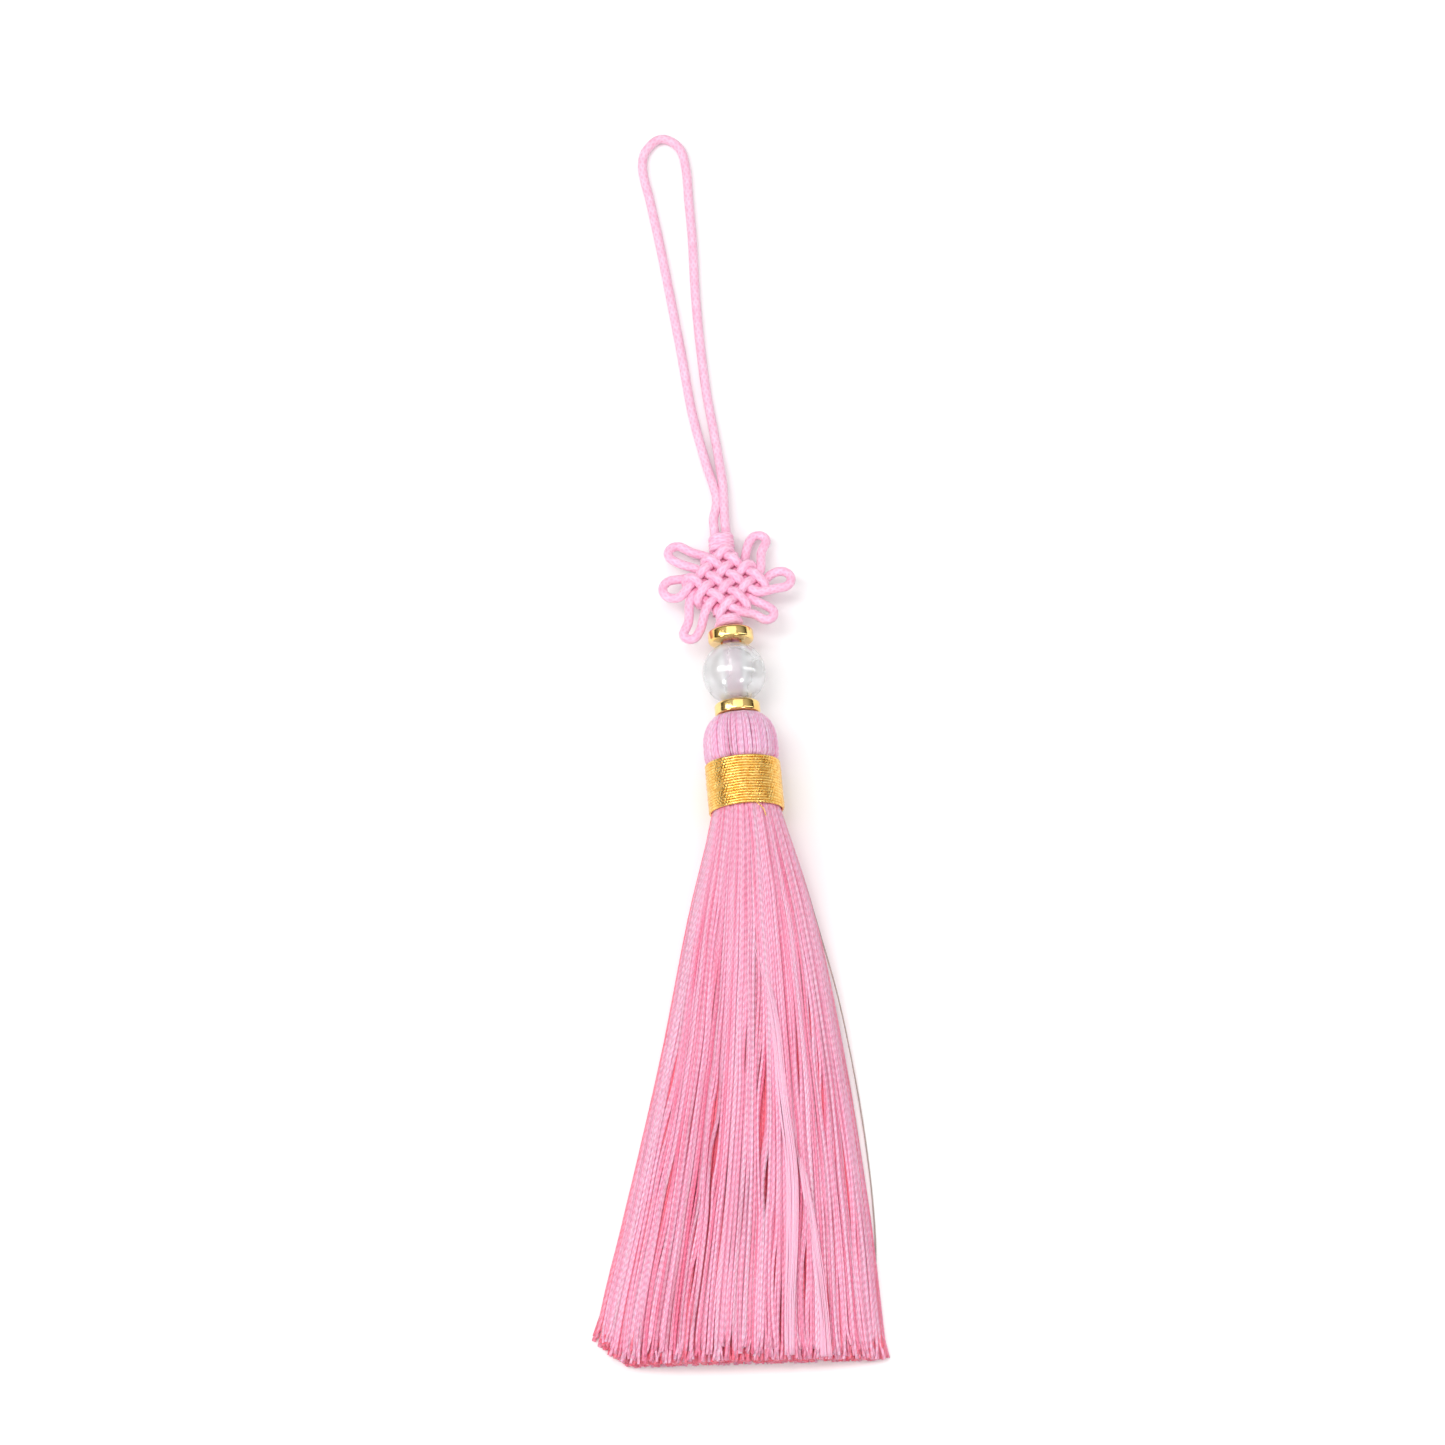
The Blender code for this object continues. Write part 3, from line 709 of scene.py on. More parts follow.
# %% Flat strands
# distance from the band, x from the band's middle, width, height over the skirt's top
FLAT_STRANDS = {
    "flat_strand_long": (
        (12.0, 0.1, 0.4, -0.9),
        (20.0, 0.7, 0.6, -0.25),
        (26.0, 2.1, 1.0, 0.15),
        (33.0, 3.35, 1.2, 0.25),
        (45.0, 4.25, 1.4, 0.3),
        (56.0, 5.2, 1.7, 0.3),
        (68.0, 4.9, 1.6, 0.3),
        (78.0, 4.2, 1.5, 0.3),
        (84.6, 3.95, 1.4, 0.2),
    ),
    "flat_strand_short": (
        (38.0, 5.6, 0.6, -0.9),
        (50.0, 6.4, 0.8, -0.2),
        (58.0, 7.2, 1.0, 0.2),
        (68.0, 8.4, 1.2, 0.25),
        (77.0, 9.25, 1.4, 0.25),
        (84.9, 9.6, 1.5, 0.15),
    ),
}
FILAMENTS = 9


def skirt_top(x, distance):
    """Height of the skirt's upper face."""
    centre, half_width, edge, _, rise = section_at(distance)
    return edge + rise * np.sqrt(np.clip(1 - ((x - centre) / half_width) ** 2, 0, 1))


def flat_strand(name, rows, seed, rings=48):
    draw = np.random.default_rng(seed)
    points = smooth_line([Vector(row[:3]) for row in rows], 0.8)
    points = np.array([points[round(i)] for i in np.linspace(0, len(points) - 1, rings)])
    distance, middle, width = points.T
    over = np.interp(distance, [row[0] for row in rows], [row[3] for row in rows])
    spread = np.linspace(-0.5, 0.5, FILAMENTS)[:, None] + draw.uniform(-0.03, 0.03, (FILAMENTS, 1))
    x = middle + spread * width
    x = x + 0.05 * np.sin(distance / 4 + draw.uniform(0, TURN, (FILAMENTS, 1)))
    z = skirt_top(middle, distance) + over - 0.35 * spread**2 + draw.uniform(-0.04, 0.04, (FILAMENTS, 1))
    y = np.broadcast_to(-HALF_BAND / MM - distance, x.shape)
    thickness = np.broadcast_to(width / FILAMENTS * 1.45, x.shape)
    outward = np.zeros((*x.shape, 3))
    outward[..., 2] = 1.0
    row = thread_row(name, FILAMENTS, 8, rings)
    world = np.stack([x, y, z], axis=-1) * MM + np.array(on_floor)
    tone_and_shade = np.broadcast_to(draw.uniform(0.3, 0.9, (FILAMENTS, 1)), x.shape)
    lay_threads(row, world, outward, thickness * MM, tone_and_shade)
    dress(row, FLAT_SILK, "silk_floss", "floss_tassel")


for seed, (name, rows) in enumerate(FLAT_STRANDS.items(), 10):
    flat_strand(name, rows, seed)
    print(name, "of", FILAMENTS, "filaments")

# %% Stray fibre
STRAY_ROUTE = (
    (8.6, -14.0, 4.6),
    (11.0, -23.0, 2.9),
    (13.7, -34.0, 1.4),
    (16.0, -48.0, 0.4),
    (17.3, -60.0, 0.15),
    (17.8, -70.0, 0.15),
    (17.6, -77.0, 0.2),
)
STRAY_THICK = 0.22 * MM

stray_line = smooth_line([on_floor + Vector(row) * MM for row in STRAY_ROUTE], 0.8 * MM)
stray = as_mesh(cord_curve("stray_fibre", [stray_line], STRAY_THICK, 1))
stray_finish, stray_tree, stray_shader = new_finish("stray_grey", {"Roughness": 0.5})
stray_place = node(stray_tree, "ShaderNodeTexCoord", {})
stray_tone = noise(stray_tree, stray_place.outputs["Object"], 400.0)
stray_colour = blend(stray_tree, stray_tone, (0.27, 0.23, 0.19, 1), (0.48, 0.37, 0.35, 1))
stray_tree.links.new(stray_colour, stray_shader.inputs["Base Color"])
dress(stray, stray_finish, "silk_floss", "floss_tassel")
print("stray fibre", round(length_of(stray_line) / MM), "mm")

# %% [markdown]
# ## Head
#
# The head is the same floss, folded over the cord and tied below, so its threads run from the hole
# at the top over the dome and in under the band. A lathe form with a stripe pattern would be
# quicker, but its edge would be bare. The same row of threads is laid over the dome instead, in
# two layers, and shallow creases gather it towards the top.
# The under layer gets a lower tone, as painted shade beneath the top threads.

# %% The head's threads
DOME_RADIUS, DOME_TOP_RADIUS, DOME_ROUND = 5.85, 3.3, 4.6
HEAD_THREADS, HEAD_THREAD = 132, 0.40
HEAD_RINGS = 26
# place round the head in degrees, width in degrees, depth
CREASES = ((62, 8, 0.12), (90, 7, 0.16), (103, 6, 0.08), (128, 9, 0.10), (20, 9, 0.12), (165, 9, 0.12))


def dome_line():
    """Place along the axis and radius of the dome's rings, from the hole to under the band."""
    top, groove = HEAD_TOP / MM, HALF_BAND / MM + GAP / MM
    rows = [(top - 2.2, 1.75), (top - 0.7, 1.95), (top - 0.1, 2.45)]
    for degrees in (84, 70, 55, 40, 25, 10):
        angle = math.radians(degrees)
        swell = (DOME_RADIUS - DOME_TOP_RADIUS) * math.cos(angle)
        rows.append((top - DOME_ROUND * (1 - math.sin(angle)), DOME_TOP_RADIUS + swell))
    rows += [(groove + 0.9, DOME_RADIUS), (groove + 0.15, DOME_RADIUS - 0.1)]
    rows += [(groove - 0.6, 5.25), (groove - 2.5, 5.1)]
    line = smooth_line([Vector((along, radius, 0)) for along, radius in rows], 0.2)
    return np.array([line[round(i)] for i in np.linspace(0, len(line) - 1, HEAD_RINGS)])[:, :2]


def head_lines(sunk, draw):
    """Lines of one layer of the head's threads in its own frame, and the way out at each ring."""
    along, radius = dome_line().T
    angle = np.arange(HEAD_THREADS) / HEAD_THREADS * TURN + draw.uniform(-0.02, 0.02, HEAD_THREADS)
    lean = draw.uniform(-0.05, 0.05, (HEAD_THREADS, 1)) * np.linspace(0, 1, HEAD_RINGS)
    turned = angle[:, None] + lean
    dent = np.zeros_like(turned)
    for centre, width, depth in CREASES:
        off = (np.degrees(turned) - centre + 180) % 360 - 180
        dent += depth * np.exp(-((off / width) ** 2))
    gathered = np.interp(along, [4.5, 7.5, 11.0], [0.15, 0.7, 1.0])
    uneven = draw.uniform(-0.05, 0.05, (HEAD_THREADS, 1))
    out = radius - HEAD_THREAD / 2 - sunk - dent * gathered + uneven
    outward = np.stack([np.cos(turned), np.zeros_like(turned), np.sin(turned)], axis=-1)
    lines = outward * out[..., None]
    lines[..., 1] = along
    return lines, outward


print("head threads:", HEAD_THREADS)

# %% Laying them over the dome
turn_head = np.array(HEAD_FRAME.to_3x3())
# name, how far the layer is sunk, tone of its threads (lower under the top layer as painted shade), seed
for name, sunk, tone_and_shade_middle, seed in (
    ("head_threads", 0.0, 0.6, 5),
    ("head_under_threads", 0.22, 0.35, 6),
):
    draw = np.random.default_rng(seed)
    lines, outward = head_lines(sunk, draw)
    tone_and_shade = np.broadcast_to(draw.normal(tone_and_shade_middle, 0.18, (HEAD_THREADS, 1)), lines.shape[:2])
    head = thread_row(name, HEAD_THREADS, 8, HEAD_RINGS)
    lay_threads(
        head,
        lines @ turn_head.T * MM + np.array(band_middle),
        outward @ turn_head.T,
        np.full(lines.shape[:2], HEAD_THREAD * MM),
        tone_and_shade,
    )
    dress(head, HEAD_SILK, "silk_floss", "floss_tassel")
    print(head.name, len(head.data.polygons), "faces")

# %% [markdown]
# ## Gold winding
#
# The band is metallic thread, wound in eighteen close turns. Such a thread is a thin gold film
# wrapped slantwise round a core, so it shows facets that flash one by one. A torus for each turn
# would look like a stack of rings. One long helix runs on from turn to turn, its finish has the
# film's slanting edges, and a short end springs loose.

# %% Finish: gold thread
WOUND_LENGTH = 645 * MM
FILM_PITCH = 0.5092 * MM
GOLD_THREAD, GOLD_TREE, GOLD_SHADER = new_finish(
    "gold_thread", {"Metallic": 1.0, "Roughness": 0.24, "Specular IOR Level": 0.5}
)
gold_maps = node(GOLD_TREE, "ShaderNodeTexCoord", {})
gold_place = gold_maps.outputs["Object"]
gold_tone = between(GOLD_TREE, noise(GOLD_TREE, gold_place, 1500.0, 3.0), 0.32, 0.68)
gold_base = blend(GOLD_TREE, gold_tone, (0.82, 0.44, 0.08, 1), (0.98, 0.70, 0.24, 1))
GOLD_TREE.links.new(gold_base, GOLD_SHADER.inputs["Base Color"])
gold_rough = between(GOLD_TREE, noise(GOLD_TREE, gold_place, 900.0), 0.3, 0.7, 0.14, 0.38)
GOLD_TREE.links.new(gold_rough, GOLD_SHADER.inputs["Roughness"])
gold_film = node(
    GOLD_TREE,
    "ShaderNodeMapping",
    {"Vector": gold_maps.outputs["UV"], "Scale": (WOUND_LENGTH / FILM_PITCH, 1, 0)},
)
film = node(
    GOLD_TREE,
    "ShaderNodeTexWave",
    {"Vector": gold_film.outputs["Vector"], "Scale": WAVE_UNIT},
    bands_direction="DIAGONAL",
).outputs["Fac"]
bump(GOLD_TREE, GOLD_SHADER, film, 0.03 * MM, 0.6)
print("gold thread finish ready")

# %% The winding
TURNS = 18
WIRE = 0.50 * MM
WIND_RADIUS = 5.70 * MM
STEPS_A_TURN = 84

winding_line = []
for i in range(TURNS * STEPS_A_TURN + 1):
    turn = i / STEPS_A_TURN
    around = TURN * turn - 0.6
    along = (turn / TURNS - 0.5) * (2 * HALF_BAND - WIRE)
    sunk = 0.5 * MM * max(0.0, 0.12 - min(turn, TURNS - turn)) / 0.12
    uneven = 0.03 * MM * math.sin(turn * 5.3) * math.sin(turn * 2.1)
    out = WIND_RADIUS - sunk + uneven
    winding_line.append(HEAD_FRAME @ Vector((out * math.cos(around), along, out * math.sin(around))))
winding = as_mesh(cord_curve("gold_winding", [winding_line], WIRE, 2))
for vertex in winding.data.vertices:
    vertex.co.z = max(vertex.co.z, 0.0)
dress(winding, GOLD_THREAD, "gold_thread", "gold_band")
print("gold winding", round(length_of(winding_line), 2), "m of thread")

# %% Its loose end
LOOSE_END = (
    (1.4, -4.0, 5.75),
    (1.9, -4.5, 5.85),
    (2.5, -5.3, 5.75),
    (2.7, -6.3, 5.65),
)
loose_line = smooth_line([HEAD_FRAME @ (Vector(row) * MM) for row in LOOSE_END], 0.15 * MM)
loose_end = cord_curve("gold_loose_end", [loose_line], 0.2 * MM, 0)
for i, point in enumerate(loose_end.data.splines[0].points):
    point.tilt = i * 0.3
as_mesh(loose_end)
dress(loose_end, GOLD_THREAD, "gold_thread", "gold_band")
print("loose end", round(length_of(loose_line) / MM, 1), "mm")

# %% [markdown]
# ## Discs
#
# Each disc is a turned brass ring, gold plated and polished, with a rounded rim. A torus would lack
# the flat faces. So a short cylinder is bored through: its two faces are inset to the size of the
# hole, the inner faces are deleted, the edges are bridged, and then the rim is bevelled round.

# %% Helper: pick faces or edges and turn a piece on to the axis


def pick(piece, mode, test):
    """Selects the faces or edges of a piece whose middle passes a test."""
    bpy.ops.object.mode_set(mode="OBJECT")
    mesh = piece.data
    mesh.vertices.foreach_set("select", [False] * len(mesh.vertices))
    mesh.edges.foreach_set("select", [False] * len(mesh.edges))
    mesh.polygons.foreach_set("select", [False] * len(mesh.polygons))
    bpy.context.tool_settings.mesh_select_mode = (False, mode == "EDGE", mode == "FACE")
    for part in mesh.edges if mode == "EDGE" else mesh.polygons:
        corners = [mesh.vertices[i].co for i in part.vertices]
        part.select = test(sum(corners, Vector()) / len(corners), corners)
    bpy.ops.object.mode_set(mode="EDIT")


def settle(piece, place):
    """Moves a piece's place into its mesh."""
    bpy.ops.object.mode_set(mode="OBJECT")
    piece.data.transform(place)
    piece.matrix_world = Matrix()
    bpy.ops.object.shade_smooth_by_angle(angle=math.radians(35))


print("picking helpers ready")

# %% Finish: polished gold
POLISHED, POLISHED_TREE, POLISHED_SHADER = new_finish(
    "polished_gold", {"Metallic": 1.0, "Specular IOR Level": 0.5, "Coat Weight": 0.15}
)
shine_place = node(POLISHED_TREE, "ShaderNodeTexCoord", {}).outputs["Object"]
cloud = noise(POLISHED_TREE, shine_place, 500.0, 4.0)
clouded = between(POLISHED_TREE, cloud, 0.35, 0.65)
shine_base = blend(POLISHED_TREE, clouded, (0.86, 0.56, 0.17, 1), (0.96, 0.70, 0.28, 1))
POLISHED_TREE.links.new(shine_base, POLISHED_SHADER.inputs["Base Color"])
scuffs = noise(POLISHED_TREE, shine_place, 3000.0, 3.0)
scuffed = between(POLISHED_TREE, scuffs, 0.4, 0.7, 0.07, 0.2)
POLISHED_TREE.links.new(scuffed, POLISHED_SHADER.inputs["Roughness"])
bump(POLISHED_TREE, POLISHED_SHADER, scuffs, 0.01 * MM, 0.25)
print("polished gold ready")

# %% The discs
DISC_RADIUS, BORE_RADIUS = 3.6 * MM, 1.65 * MM
DISC_ROUNDING = 0.5 * MM


def make_disc(name, solid, along):
    bpy.ops.mesh.primitive_cylinder_add(vertices=96, radius=DISC_RADIUS, depth=DISC_THICK)
    disc = bpy.context.object
    disc.name = name
    pick(disc, "FACE", lambda middle, corners: len(corners) > 4)
    bpy.ops.mesh.inset(thickness=DISC_RADIUS - BORE_RADIUS)
    bpy.ops.mesh.delete(type="FACE")
    pick(disc, "EDGE", lambda middle, corners: all(c.xy.length < BORE_RADIUS * 1.01 for c in corners))
    bpy.ops.mesh.bridge_edge_loops()
    rim = (DISC_RADIUS * 0.99, DISC_THICK * 0.49)
    pick(
        disc,
        "EDGE",
        lambda middle, corners: all(c.xy.length > rim[0] and abs(c.z) > rim[1] for c in corners)
        and abs(middle.z) > rim[1],
    )
    bpy.ops.mesh.bevel(offset=DISC_ROUNDING, segments=10, profile=0.5)
    bpy.ops.mesh.select_all(action="SELECT")
    bpy.ops.mesh.normals_make_consistent(inside=False)
    settle(disc, on_axis(along))
    dress(disc, POLISHED, "polished_gold", solid)
    print(name, len(disc.data.polygons), "faces")


make_disc("upper_gold_disc", "upper_disc", UPPER_DISC_AT)
make_disc("lower_gold_disc", "lower_disc", LOWER_DISC_AT)

# %% [markdown]
# ## Bead
#
# The bead is a ball of milky glass, bored through, and the doubled cord shows inside as a soft pink
# stripe. A ball with a pink stripe painted on it would not bend the light. So a sphere loses its
# two polar caps, the holes are joined by a straight bore, and the glass lets most light through
# and scatters the rest.

# %% Finish: milky glass
GLASS, GLASS_TREE, GLASS_SHADER = new_finish(
    "milky_glass",
    {
        "IOR": 1.25,
        "Transmission Weight": 0.7,
        "Coat Weight": 1.0,
        "Coat Roughness": 0.03,
        "Coat IOR": 1.8,
    },
)
glass_place = node(GLASS_TREE, "ShaderNodeTexCoord", {}).outputs["Object"]
milk = between(GLASS_TREE, noise(GLASS_TREE, glass_place, 180.0, 3.0), 0.35, 0.65)
milk_base = blend(GLASS_TREE, milk, (0.86, 0.89, 0.90, 1), (0.97, 0.97, 0.98, 1))
GLASS_TREE.links.new(milk_base, GLASS_SHADER.inputs["Base Color"])
GLASS_TREE.links.new(between(GLASS_TREE, milk, 0, 1, 0.24, 0.32), GLASS_SHADER.inputs["Roughness"])
print("glass ready")

# %% The bead
BEAD_RADIUS = 5.0 * MM
BEAD_RINGS = 56  # six of these rings down from the pole is the bore's edge

bpy.ops.mesh.primitive_uv_sphere_add(segments=96, ring_count=BEAD_RINGS, radius=BEAD_RADIUS)
bead = bpy.context.object
bead.name = "bored_bead"
BORE_END = BEAD_RADIUS * math.cos(6 * math.pi / BEAD_RINGS)
pick(bead, "FACE", lambda middle, corners: abs(middle.z) > BORE_END)
bpy.ops.mesh.delete(type="FACE")
pick(bead, "EDGE", lambda middle, corners: all(abs(c.z) > BORE_END * 0.999 for c in corners))
bpy.ops.mesh.bridge_edge_loops()
bpy.ops.mesh.select_all(action="SELECT")
bpy.ops.mesh.normals_make_consistent(inside=False)
settle(bead, on_axis(BEAD_AT))
dress(bead, GLASS, "milky_glass", "glass_bead")
print("bead", len(bead.data.polygons), "faces")

# %% [markdown]
# ## Knot
#
# The knot is woven square, four fingers of doubled cord each way, and set as a diamond with an open
# petal wherever the cord turns outside. It could be faked with a checked pattern on a pad. Here the
# cord is followed on its real way: over and under in two layers, round each finger's tip and out
# through the petals. Odd lanes are the back layer, and each strand lifts over or dips under the
# ones that cross it.

# %% The weave's lanes and crossings
PITCH = 1.15 * MM
LAYER, WAVE = 0.78 * MM, 0.60 * MM
TIP_REACH = 1.25 * MM
WOVEN_CORD = 1.48 * MM


def lane(number):
    """Where strand line 0 to 7 runs, from the left for columns and from the bottom for rows."""
    return (number - 3.5) * PITCH


def crossing(runs, number, other):
    """Height of a strand where it crosses one of the other direction."""
    front, other_front = number % 2 == 0, other % 2 == 0
    base = LAYER if front else -LAYER
    if front != other_front:
        return base
    column, row = (number, other) if runs == "column" else (other, number)
    from_top, from_left = column // 2 % 2 == 1, row // 2 % 2 == 0
    row_over = from_left == from_top
    is_over = row_over == (runs == "row")
    if not front:
        is_over = not is_over
    return base + (WAVE if is_over else -WAVE)


print("knot pitch", round(PITCH / MM, 2), "mm")

# %% One finger of doubled cord


def finger(side, index):
    """In along its front lane, round its tip, and back along the next lane behind."""
    columns = side in ("top", "bottom")
    number = {"top": 2, "bottom": 0, "left": 0, "right": 2}[side] + 4 * index
    forward = side in ("top", "left")
    order = list(range(8)) if forward else list(range(7, -1, -1))
    sign = 1 if forward else -1
    runs = "column" if columns else "row"

    def place(across, travel, height):
        if columns:
            return Vector((across, -travel, height))
        return Vector((travel, -across, height))

    going = [place(lane(number), lane(i), crossing(runs, number, i)) for i in order]
    coming = [place(lane(number + 1), lane(i), crossing(runs, number + 1, i)) for i in reversed(order)]
    first, last = going[-1].z, coming[0].z
    tip = []
    for degrees in (40, 90, 140):
        angle = math.radians(degrees)
        tip.append(
            place(
                lane(number + 0.5) - PITCH / 2 * math.cos(angle),
                sign * (lane(7) + TIP_REACH * math.sin(angle)),
                (first + last) / 2 + (first - last) / 2 * math.cos(angle),
            )
        )
    return going + tip + coming


print("a finger has", len(finger("top", 0)), "points")

# %% Petals
# tip across and along, and the radius of the turn at the tip
PETALS = {
    "upper_left": (-8.2, 7.8, 1.5),
    "left": (-10.0, 0.0, 1.9),
    "lower_left": (-6.9, -9.6, 1.15),
    "upper_right": (6.65, 8.8, 1.3),
    "right": (10.45, 0.2, 1.7),
    "lower_right": (6.8, -7.0, 1.25),
}


def to_square(across, along):
    """A place on the diamond as seen, turned back to the square that the weave is drawn in."""
    half = math.sqrt(0.5)
    return Vector(((across - along) * half, (across + along) * half, 0))


def bow(start, way_start, end, way_end):
    """Places between two ends, on a curve that leaves and arrives along the given ways."""
    reach = (end - start).length * 0.4
    c, d = start + way_start * reach, end - way_end * reach
    places = []
    for t in (0.2, 0.4, 0.6, 0.8):
        near, far = (1 - t) ** 3, t**3
        places.append(start * near + c * 3 * t * (1 - t) ** 2 + d * 3 * t**2 * (1 - t) + end * far)
    return places


def petal(name, start, end, way_out, way_in):
    """The open loop from where one finger leaves the weave to where the next enters."""
    across, along, radius = (value * MM for value in PETALS[name])
    tip = to_square(across, along)
    out = tip.normalized()
    side = Vector((-out.y, out.x, 0))
    if (start - end).dot(side) < 0:
        side = -side
    turn = []
    for degrees in range(0, 181, 30):
        angle = math.radians(degrees)
        turn.append(tip + out * radius * (math.sin(angle) - 1) + side * radius * math.cos(angle))
    knots = bow(start, way_out, turn[0], out) + turn + bow(end, way_in, turn[-1], out)[::-1]
    for i, knot in enumerate(knots, 1):
        part = i / (len(knots) + 1)
        knot.z = start.z * (1 - part) + end.z * part
    return knots


print(len(PETALS), "petals")

# %% The two cords through the knot
LEFT, RIGHT = Vector((-1, 0, 0)), Vector((1, 0, 0))
UP, DOWN = Vector((0, 1, 0)), Vector((0, -1, 0))
CORD_STEP = 0.42 * MM
knot_frame = (
    HEAD_FRAME
    @ Matrix.Translation((0, KNOT_AT, -KNOT_SINK))
    @ Euler((-KNOT_PITCH, 0, 0)).to_matrix().to_4x4()
    @ Matrix.Rotation(math.radians(-45), 4, "Z")
)


def half_weave(stops, start, end):
    """One cord's way through the knot: its fingers with the petals between them."""
    points = [start]
    before = None
    for side, index, way, name in stops:
        strand = finger(side, index)
        if before is not None:
            points += petal(name, points[-1], strand[0], before, way)
        points += strand
        before = way
    return [knot_frame @ point for point in smooth_line([*points, end], CORD_STEP)]


corner = lane(7)
right_stops = (
    ("top", 0, UP, None),
    ("top", 1, UP, "upper_right"),
    ("right", 0, RIGHT, "right"),
    ("right", 1, RIGHT, "lower_right"),
)
left_stops = (
    ("left", 0, LEFT, None),
    ("left", 1, LEFT, "upper_left"),
    ("bottom", 0, DOWN, "left"),
    ("bottom", 1, DOWN, "lower_left"),
)
print("stops of each cord:", len(right_stops))

# %% The woven cords
right_cord = half_weave(
    right_stops,
    Vector((lane(2) - 0.9 * MM, corner + 1.1 * MM, 0.4 * MM)),
    Vector((corner + 1.3 * MM, -corner - 0.3 * MM, -0.3 * MM)),
)
left_cord = half_weave(
    left_stops,
    Vector((-corner - 1.3 * MM, corner + 0.3 * MM, 0.4 * MM)),
    Vector((lane(5) + 0.9 * MM, -corner - 1.1 * MM, -0.3 * MM)),
)
KNOT_BRAID = cord_finish("knot_braid", length_of(right_cord), PINK)
WEAVE_EDGE = lane(7) + 0.6 * MM


def mark_weave_shade(cord):
    """Keeps how deep in the weave each point lies, from 0 on its faces to 1 in its middle, for the finish
    to paint shade by.
    """
    to_knot = knot_frame.inverted()
    depths = []
    for vertex in cord.data.vertices:
        x, y, z = to_knot @ vertex.co
        inside = max(abs(x), abs(y)) < WEAVE_EDGE
        depths.append(max(0.0, 1 - abs(z) / (LAYER + WAVE)) if inside else 0.0)
    deep = cord.data.attributes.new("deep", "FLOAT", "POINT")
    deep.data.foreach_set("value", depths)


for name, line in (("knot_cord_right", right_cord), ("knot_cord_left", left_cord)):
    cord = as_mesh(cord_curve(name, [line], WOVEN_CORD, 4))
    mark_weave_shade(cord)
    dress(cord, KNOT_BRAID, "pink_cord", "cord_knot")
    print(name, round(length_of(line) / MM), "mm")

# %% [markdown]
# ## Ties and the cord inside
#
# Above and below the knot the cord is wrapped round itself and drawn tight. Each tie could be a
# barrel, but its turns show. So it is a short helix of the same cord. The lower one opens towards
# the disc. Through disc, bead and head run the two ends, side by side.

# %% The ties
TIE_CORD = 1.2 * MM


def wrap(along, sink, length, turns, first, last):
    """A helix of cord round the axis, its radius going from first to last."""
    line = []
    steps = round(turns * 40)
    for i in range(steps + 1):
        part = i / steps
        around = TURN * turns * part + 0.8
        out = first + (last - first) * part
        height = (part - 0.5) * (length - TIE_CORD)
        line.append(on_axis(along, sink) @ Vector((out * math.cos(around), out * math.sin(around), height)))
    return line


TIE_BRAID = cord_finish("tie_braid", 30 * MM, PINK)
for name, line in (
    ("lower_tie_turns", wrap(LOWER_TIE_AT, 0.0, LOWER_TIE_LENGTH + 0.3 * MM, 2.3, 1.9 * MM, 1.2 * MM)),
    ("top_tie_turns", wrap(TOP_TIE_AT, TOP_TIE_SINK, TOP_TIE_LENGTH, 3.3, 1.5 * MM, 1.45 * MM)),
):
    tie = as_mesh(cord_curve(name, [line], TIE_CORD, 4))
    dress(tie, TIE_BRAID, "pink_cord", "cord_knot")
    print(name, round(length_of(line) / MM), "mm")

# %% The doubled cord
CORE_CORD, CORE_OFFSET, CORE_IN_HEAD = 1.3 * MM, 0.68 * MM, 2.8 * MM
runs = []
for side in (-1, 1):
    ends = [Vector((side * CORE_OFFSET, at, 0)) for at in (HEAD_TOP - CORE_IN_HEAD, LOWER_TIE_AT)]
    runs.append([HEAD_FRAME @ point for point in smooth_line(ends, 0.5 * MM)])
core = as_mesh(cord_curve("core_cords", runs, CORE_CORD, 4))
dress(core, cord_finish("core_braid", length_of(runs[0]), PINK), "pink_cord", "cord_knot")

top_runs = []
for side in (-1, 1):
    ends = [Vector((side * LEG_OFFSET, TOP_TIE_AT + at * MM, -TOP_TIE_SINK)) for at in (-2.6, 2.19)]
    top_runs.append([HEAD_FRAME @ point for point in smooth_line(ends, 0.5 * MM)])
top_core = as_mesh(cord_curve("cords_in_top_tie", top_runs, LOOP_CORD, 4))
dress(top_core, TIE_BRAID, "pink_cord", "cord_knot")
print("cords through the beads and the top tie")

# %% [markdown]
# ## Floor and light
#
# The tassel lies on a plain white table under soft studio light. Two smaller lamps in front, left
# and right, give the bead its two bright spots, and the sky is darker towards the horizon so that
# the gold has something to mirror.

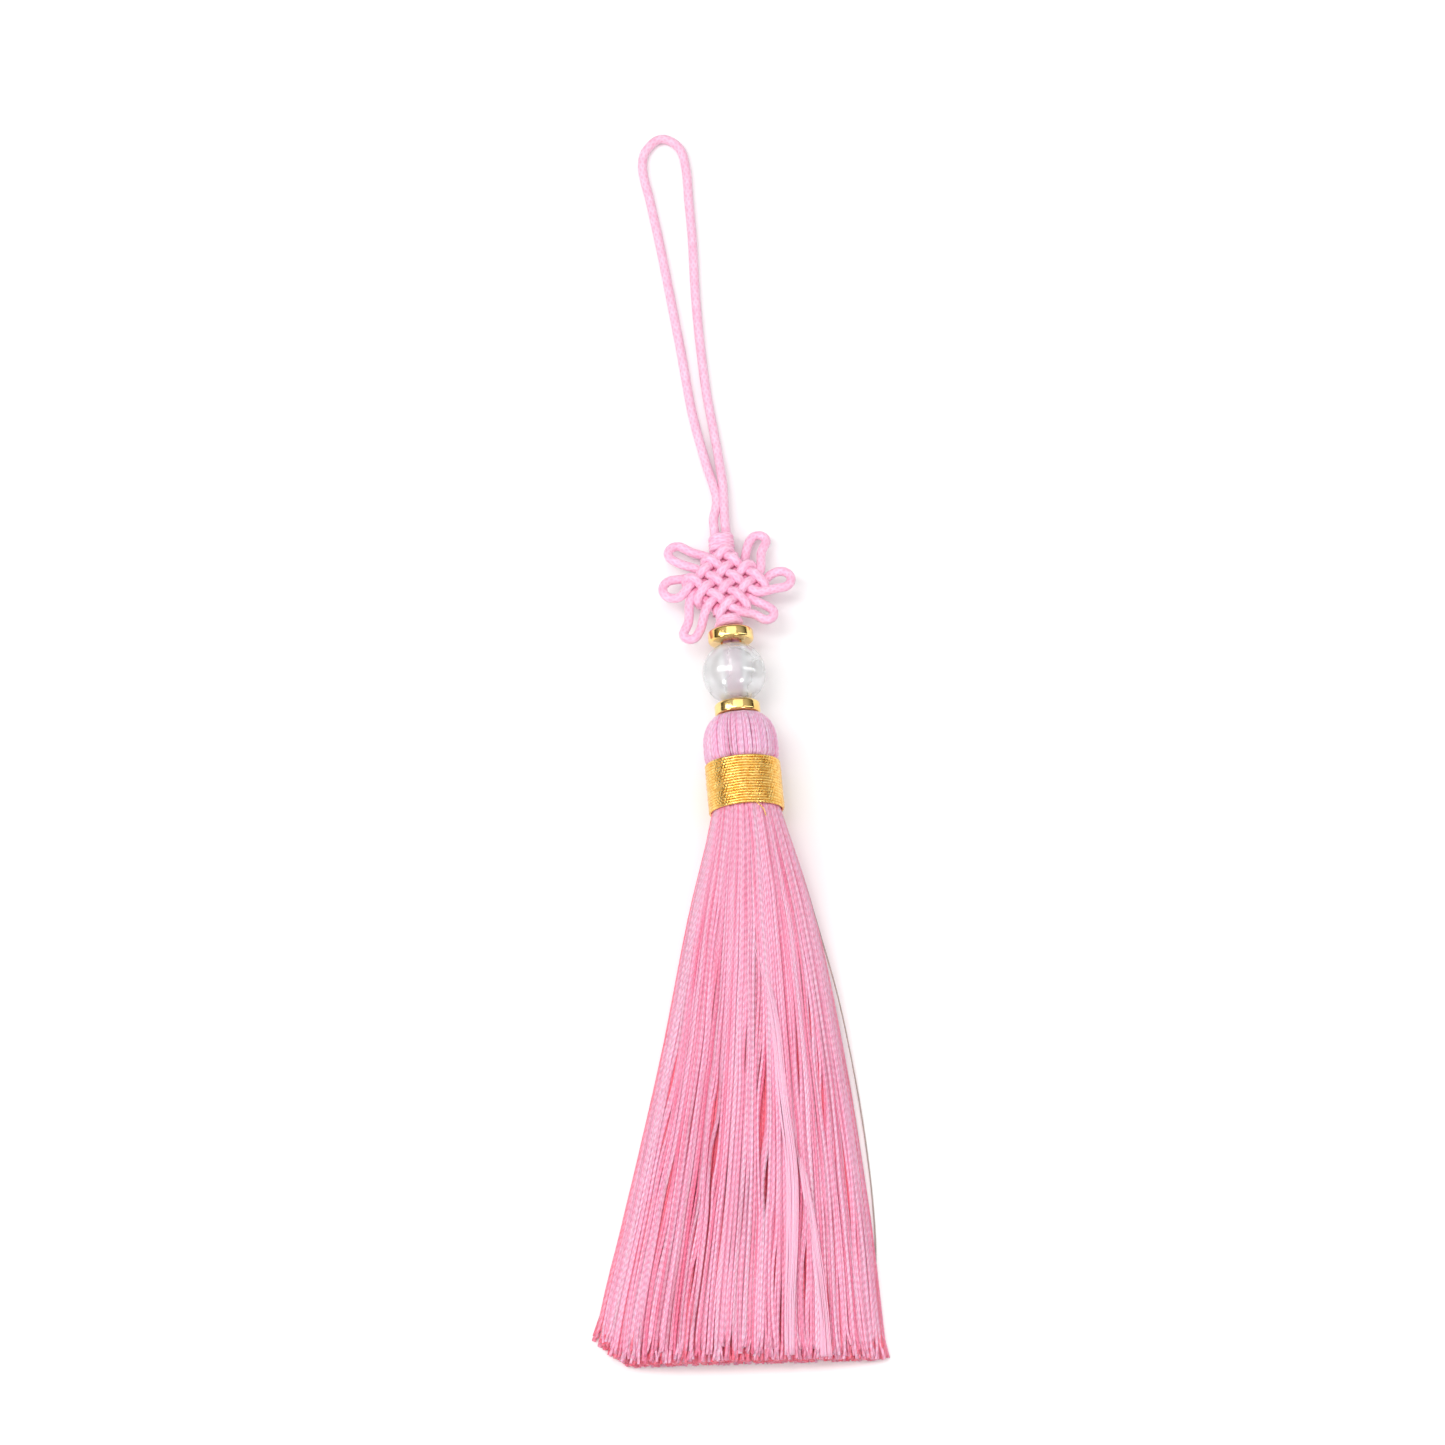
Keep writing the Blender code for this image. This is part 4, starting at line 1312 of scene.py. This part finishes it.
# %% Floor
FLOOR_SIZE = 4.0
bpy.ops.mesh.primitive_plane_add(size=FLOOR_SIZE, location=(0, 0, 0))
floor = bpy.context.object
floor.name = "floor"
FLOOR, FLOOR_TREE, FLOOR_SHADER = new_finish(
    "floor_white", {"Base Color": (0.95, 0.95, 0.95, 1), "Roughness": 0.9, "Specular IOR Level": 0.1}
)
floor.data.materials.append(FLOOR)
print("floor", FLOOR_SIZE, "m")

# %% Lamps
# place, width, length along the tassel, power
LAMPS = {
    "lamp_left": ((-0.75, -0.78, 0.62), 0.30, 0.30, 2.6),
    "lamp_right": ((0.55, -0.78, 0.80), 0.26, 0.26, 2.0),
    "strip_left": ((-0.48, 0.10, 0.72), 0.26, 0.9, 3.9),
    "strip_right": ((0.80, 0.10, 0.50), 0.14, 0.9, 1.6),
    "softbox_top": ((0.05, 0.30, 1.30), 1.1, 1.1, 4.2),
}
for name, (place, width, length, power) in LAMPS.items():
    bpy.ops.object.light_add(type="AREA", location=place)
    lamp = bpy.context.object
    lamp.name = name
    lamp.data.shape = "RECTANGLE"
    lamp.data.size = width
    lamp.data.size_y = length
    lamp.data.energy = power
    lamp.rotation_euler = (CAMERA_AIM - Vector(place)).to_track_quat("-Z", "Y").to_euler()
print(len(LAMPS), "lamps")

# %% Sky
SKY_STRENGTH = 0.62
world = bpy.data.worlds.new("studio")
bpy.context.scene.world = world
world.use_nodes = True
sky_tree = world.node_tree
sky = sky_tree.nodes["Background"]
sky.inputs["Strength"].default_value = SKY_STRENGTH
way = node(sky_tree, "ShaderNodeTexCoord", {}).outputs["Generated"]
height = node(sky_tree, "ShaderNodeSeparateXYZ", {"Vector": way}).outputs["Z"]
sky_colour = blend(sky_tree, between(sky_tree, height, 0.1, 0.7), (0.10, 0.09, 0.08, 1), (1, 1, 1, 1))
sky_tree.links.new(sky_colour, sky.inputs["Color"])
bpy.context.scene.view_settings.view_transform = "Standard"
print("sky strength", SKY_STRENGTH)

# %% Deselect everything at the end
bpy.ops.object.select_all(action="DESELECT")
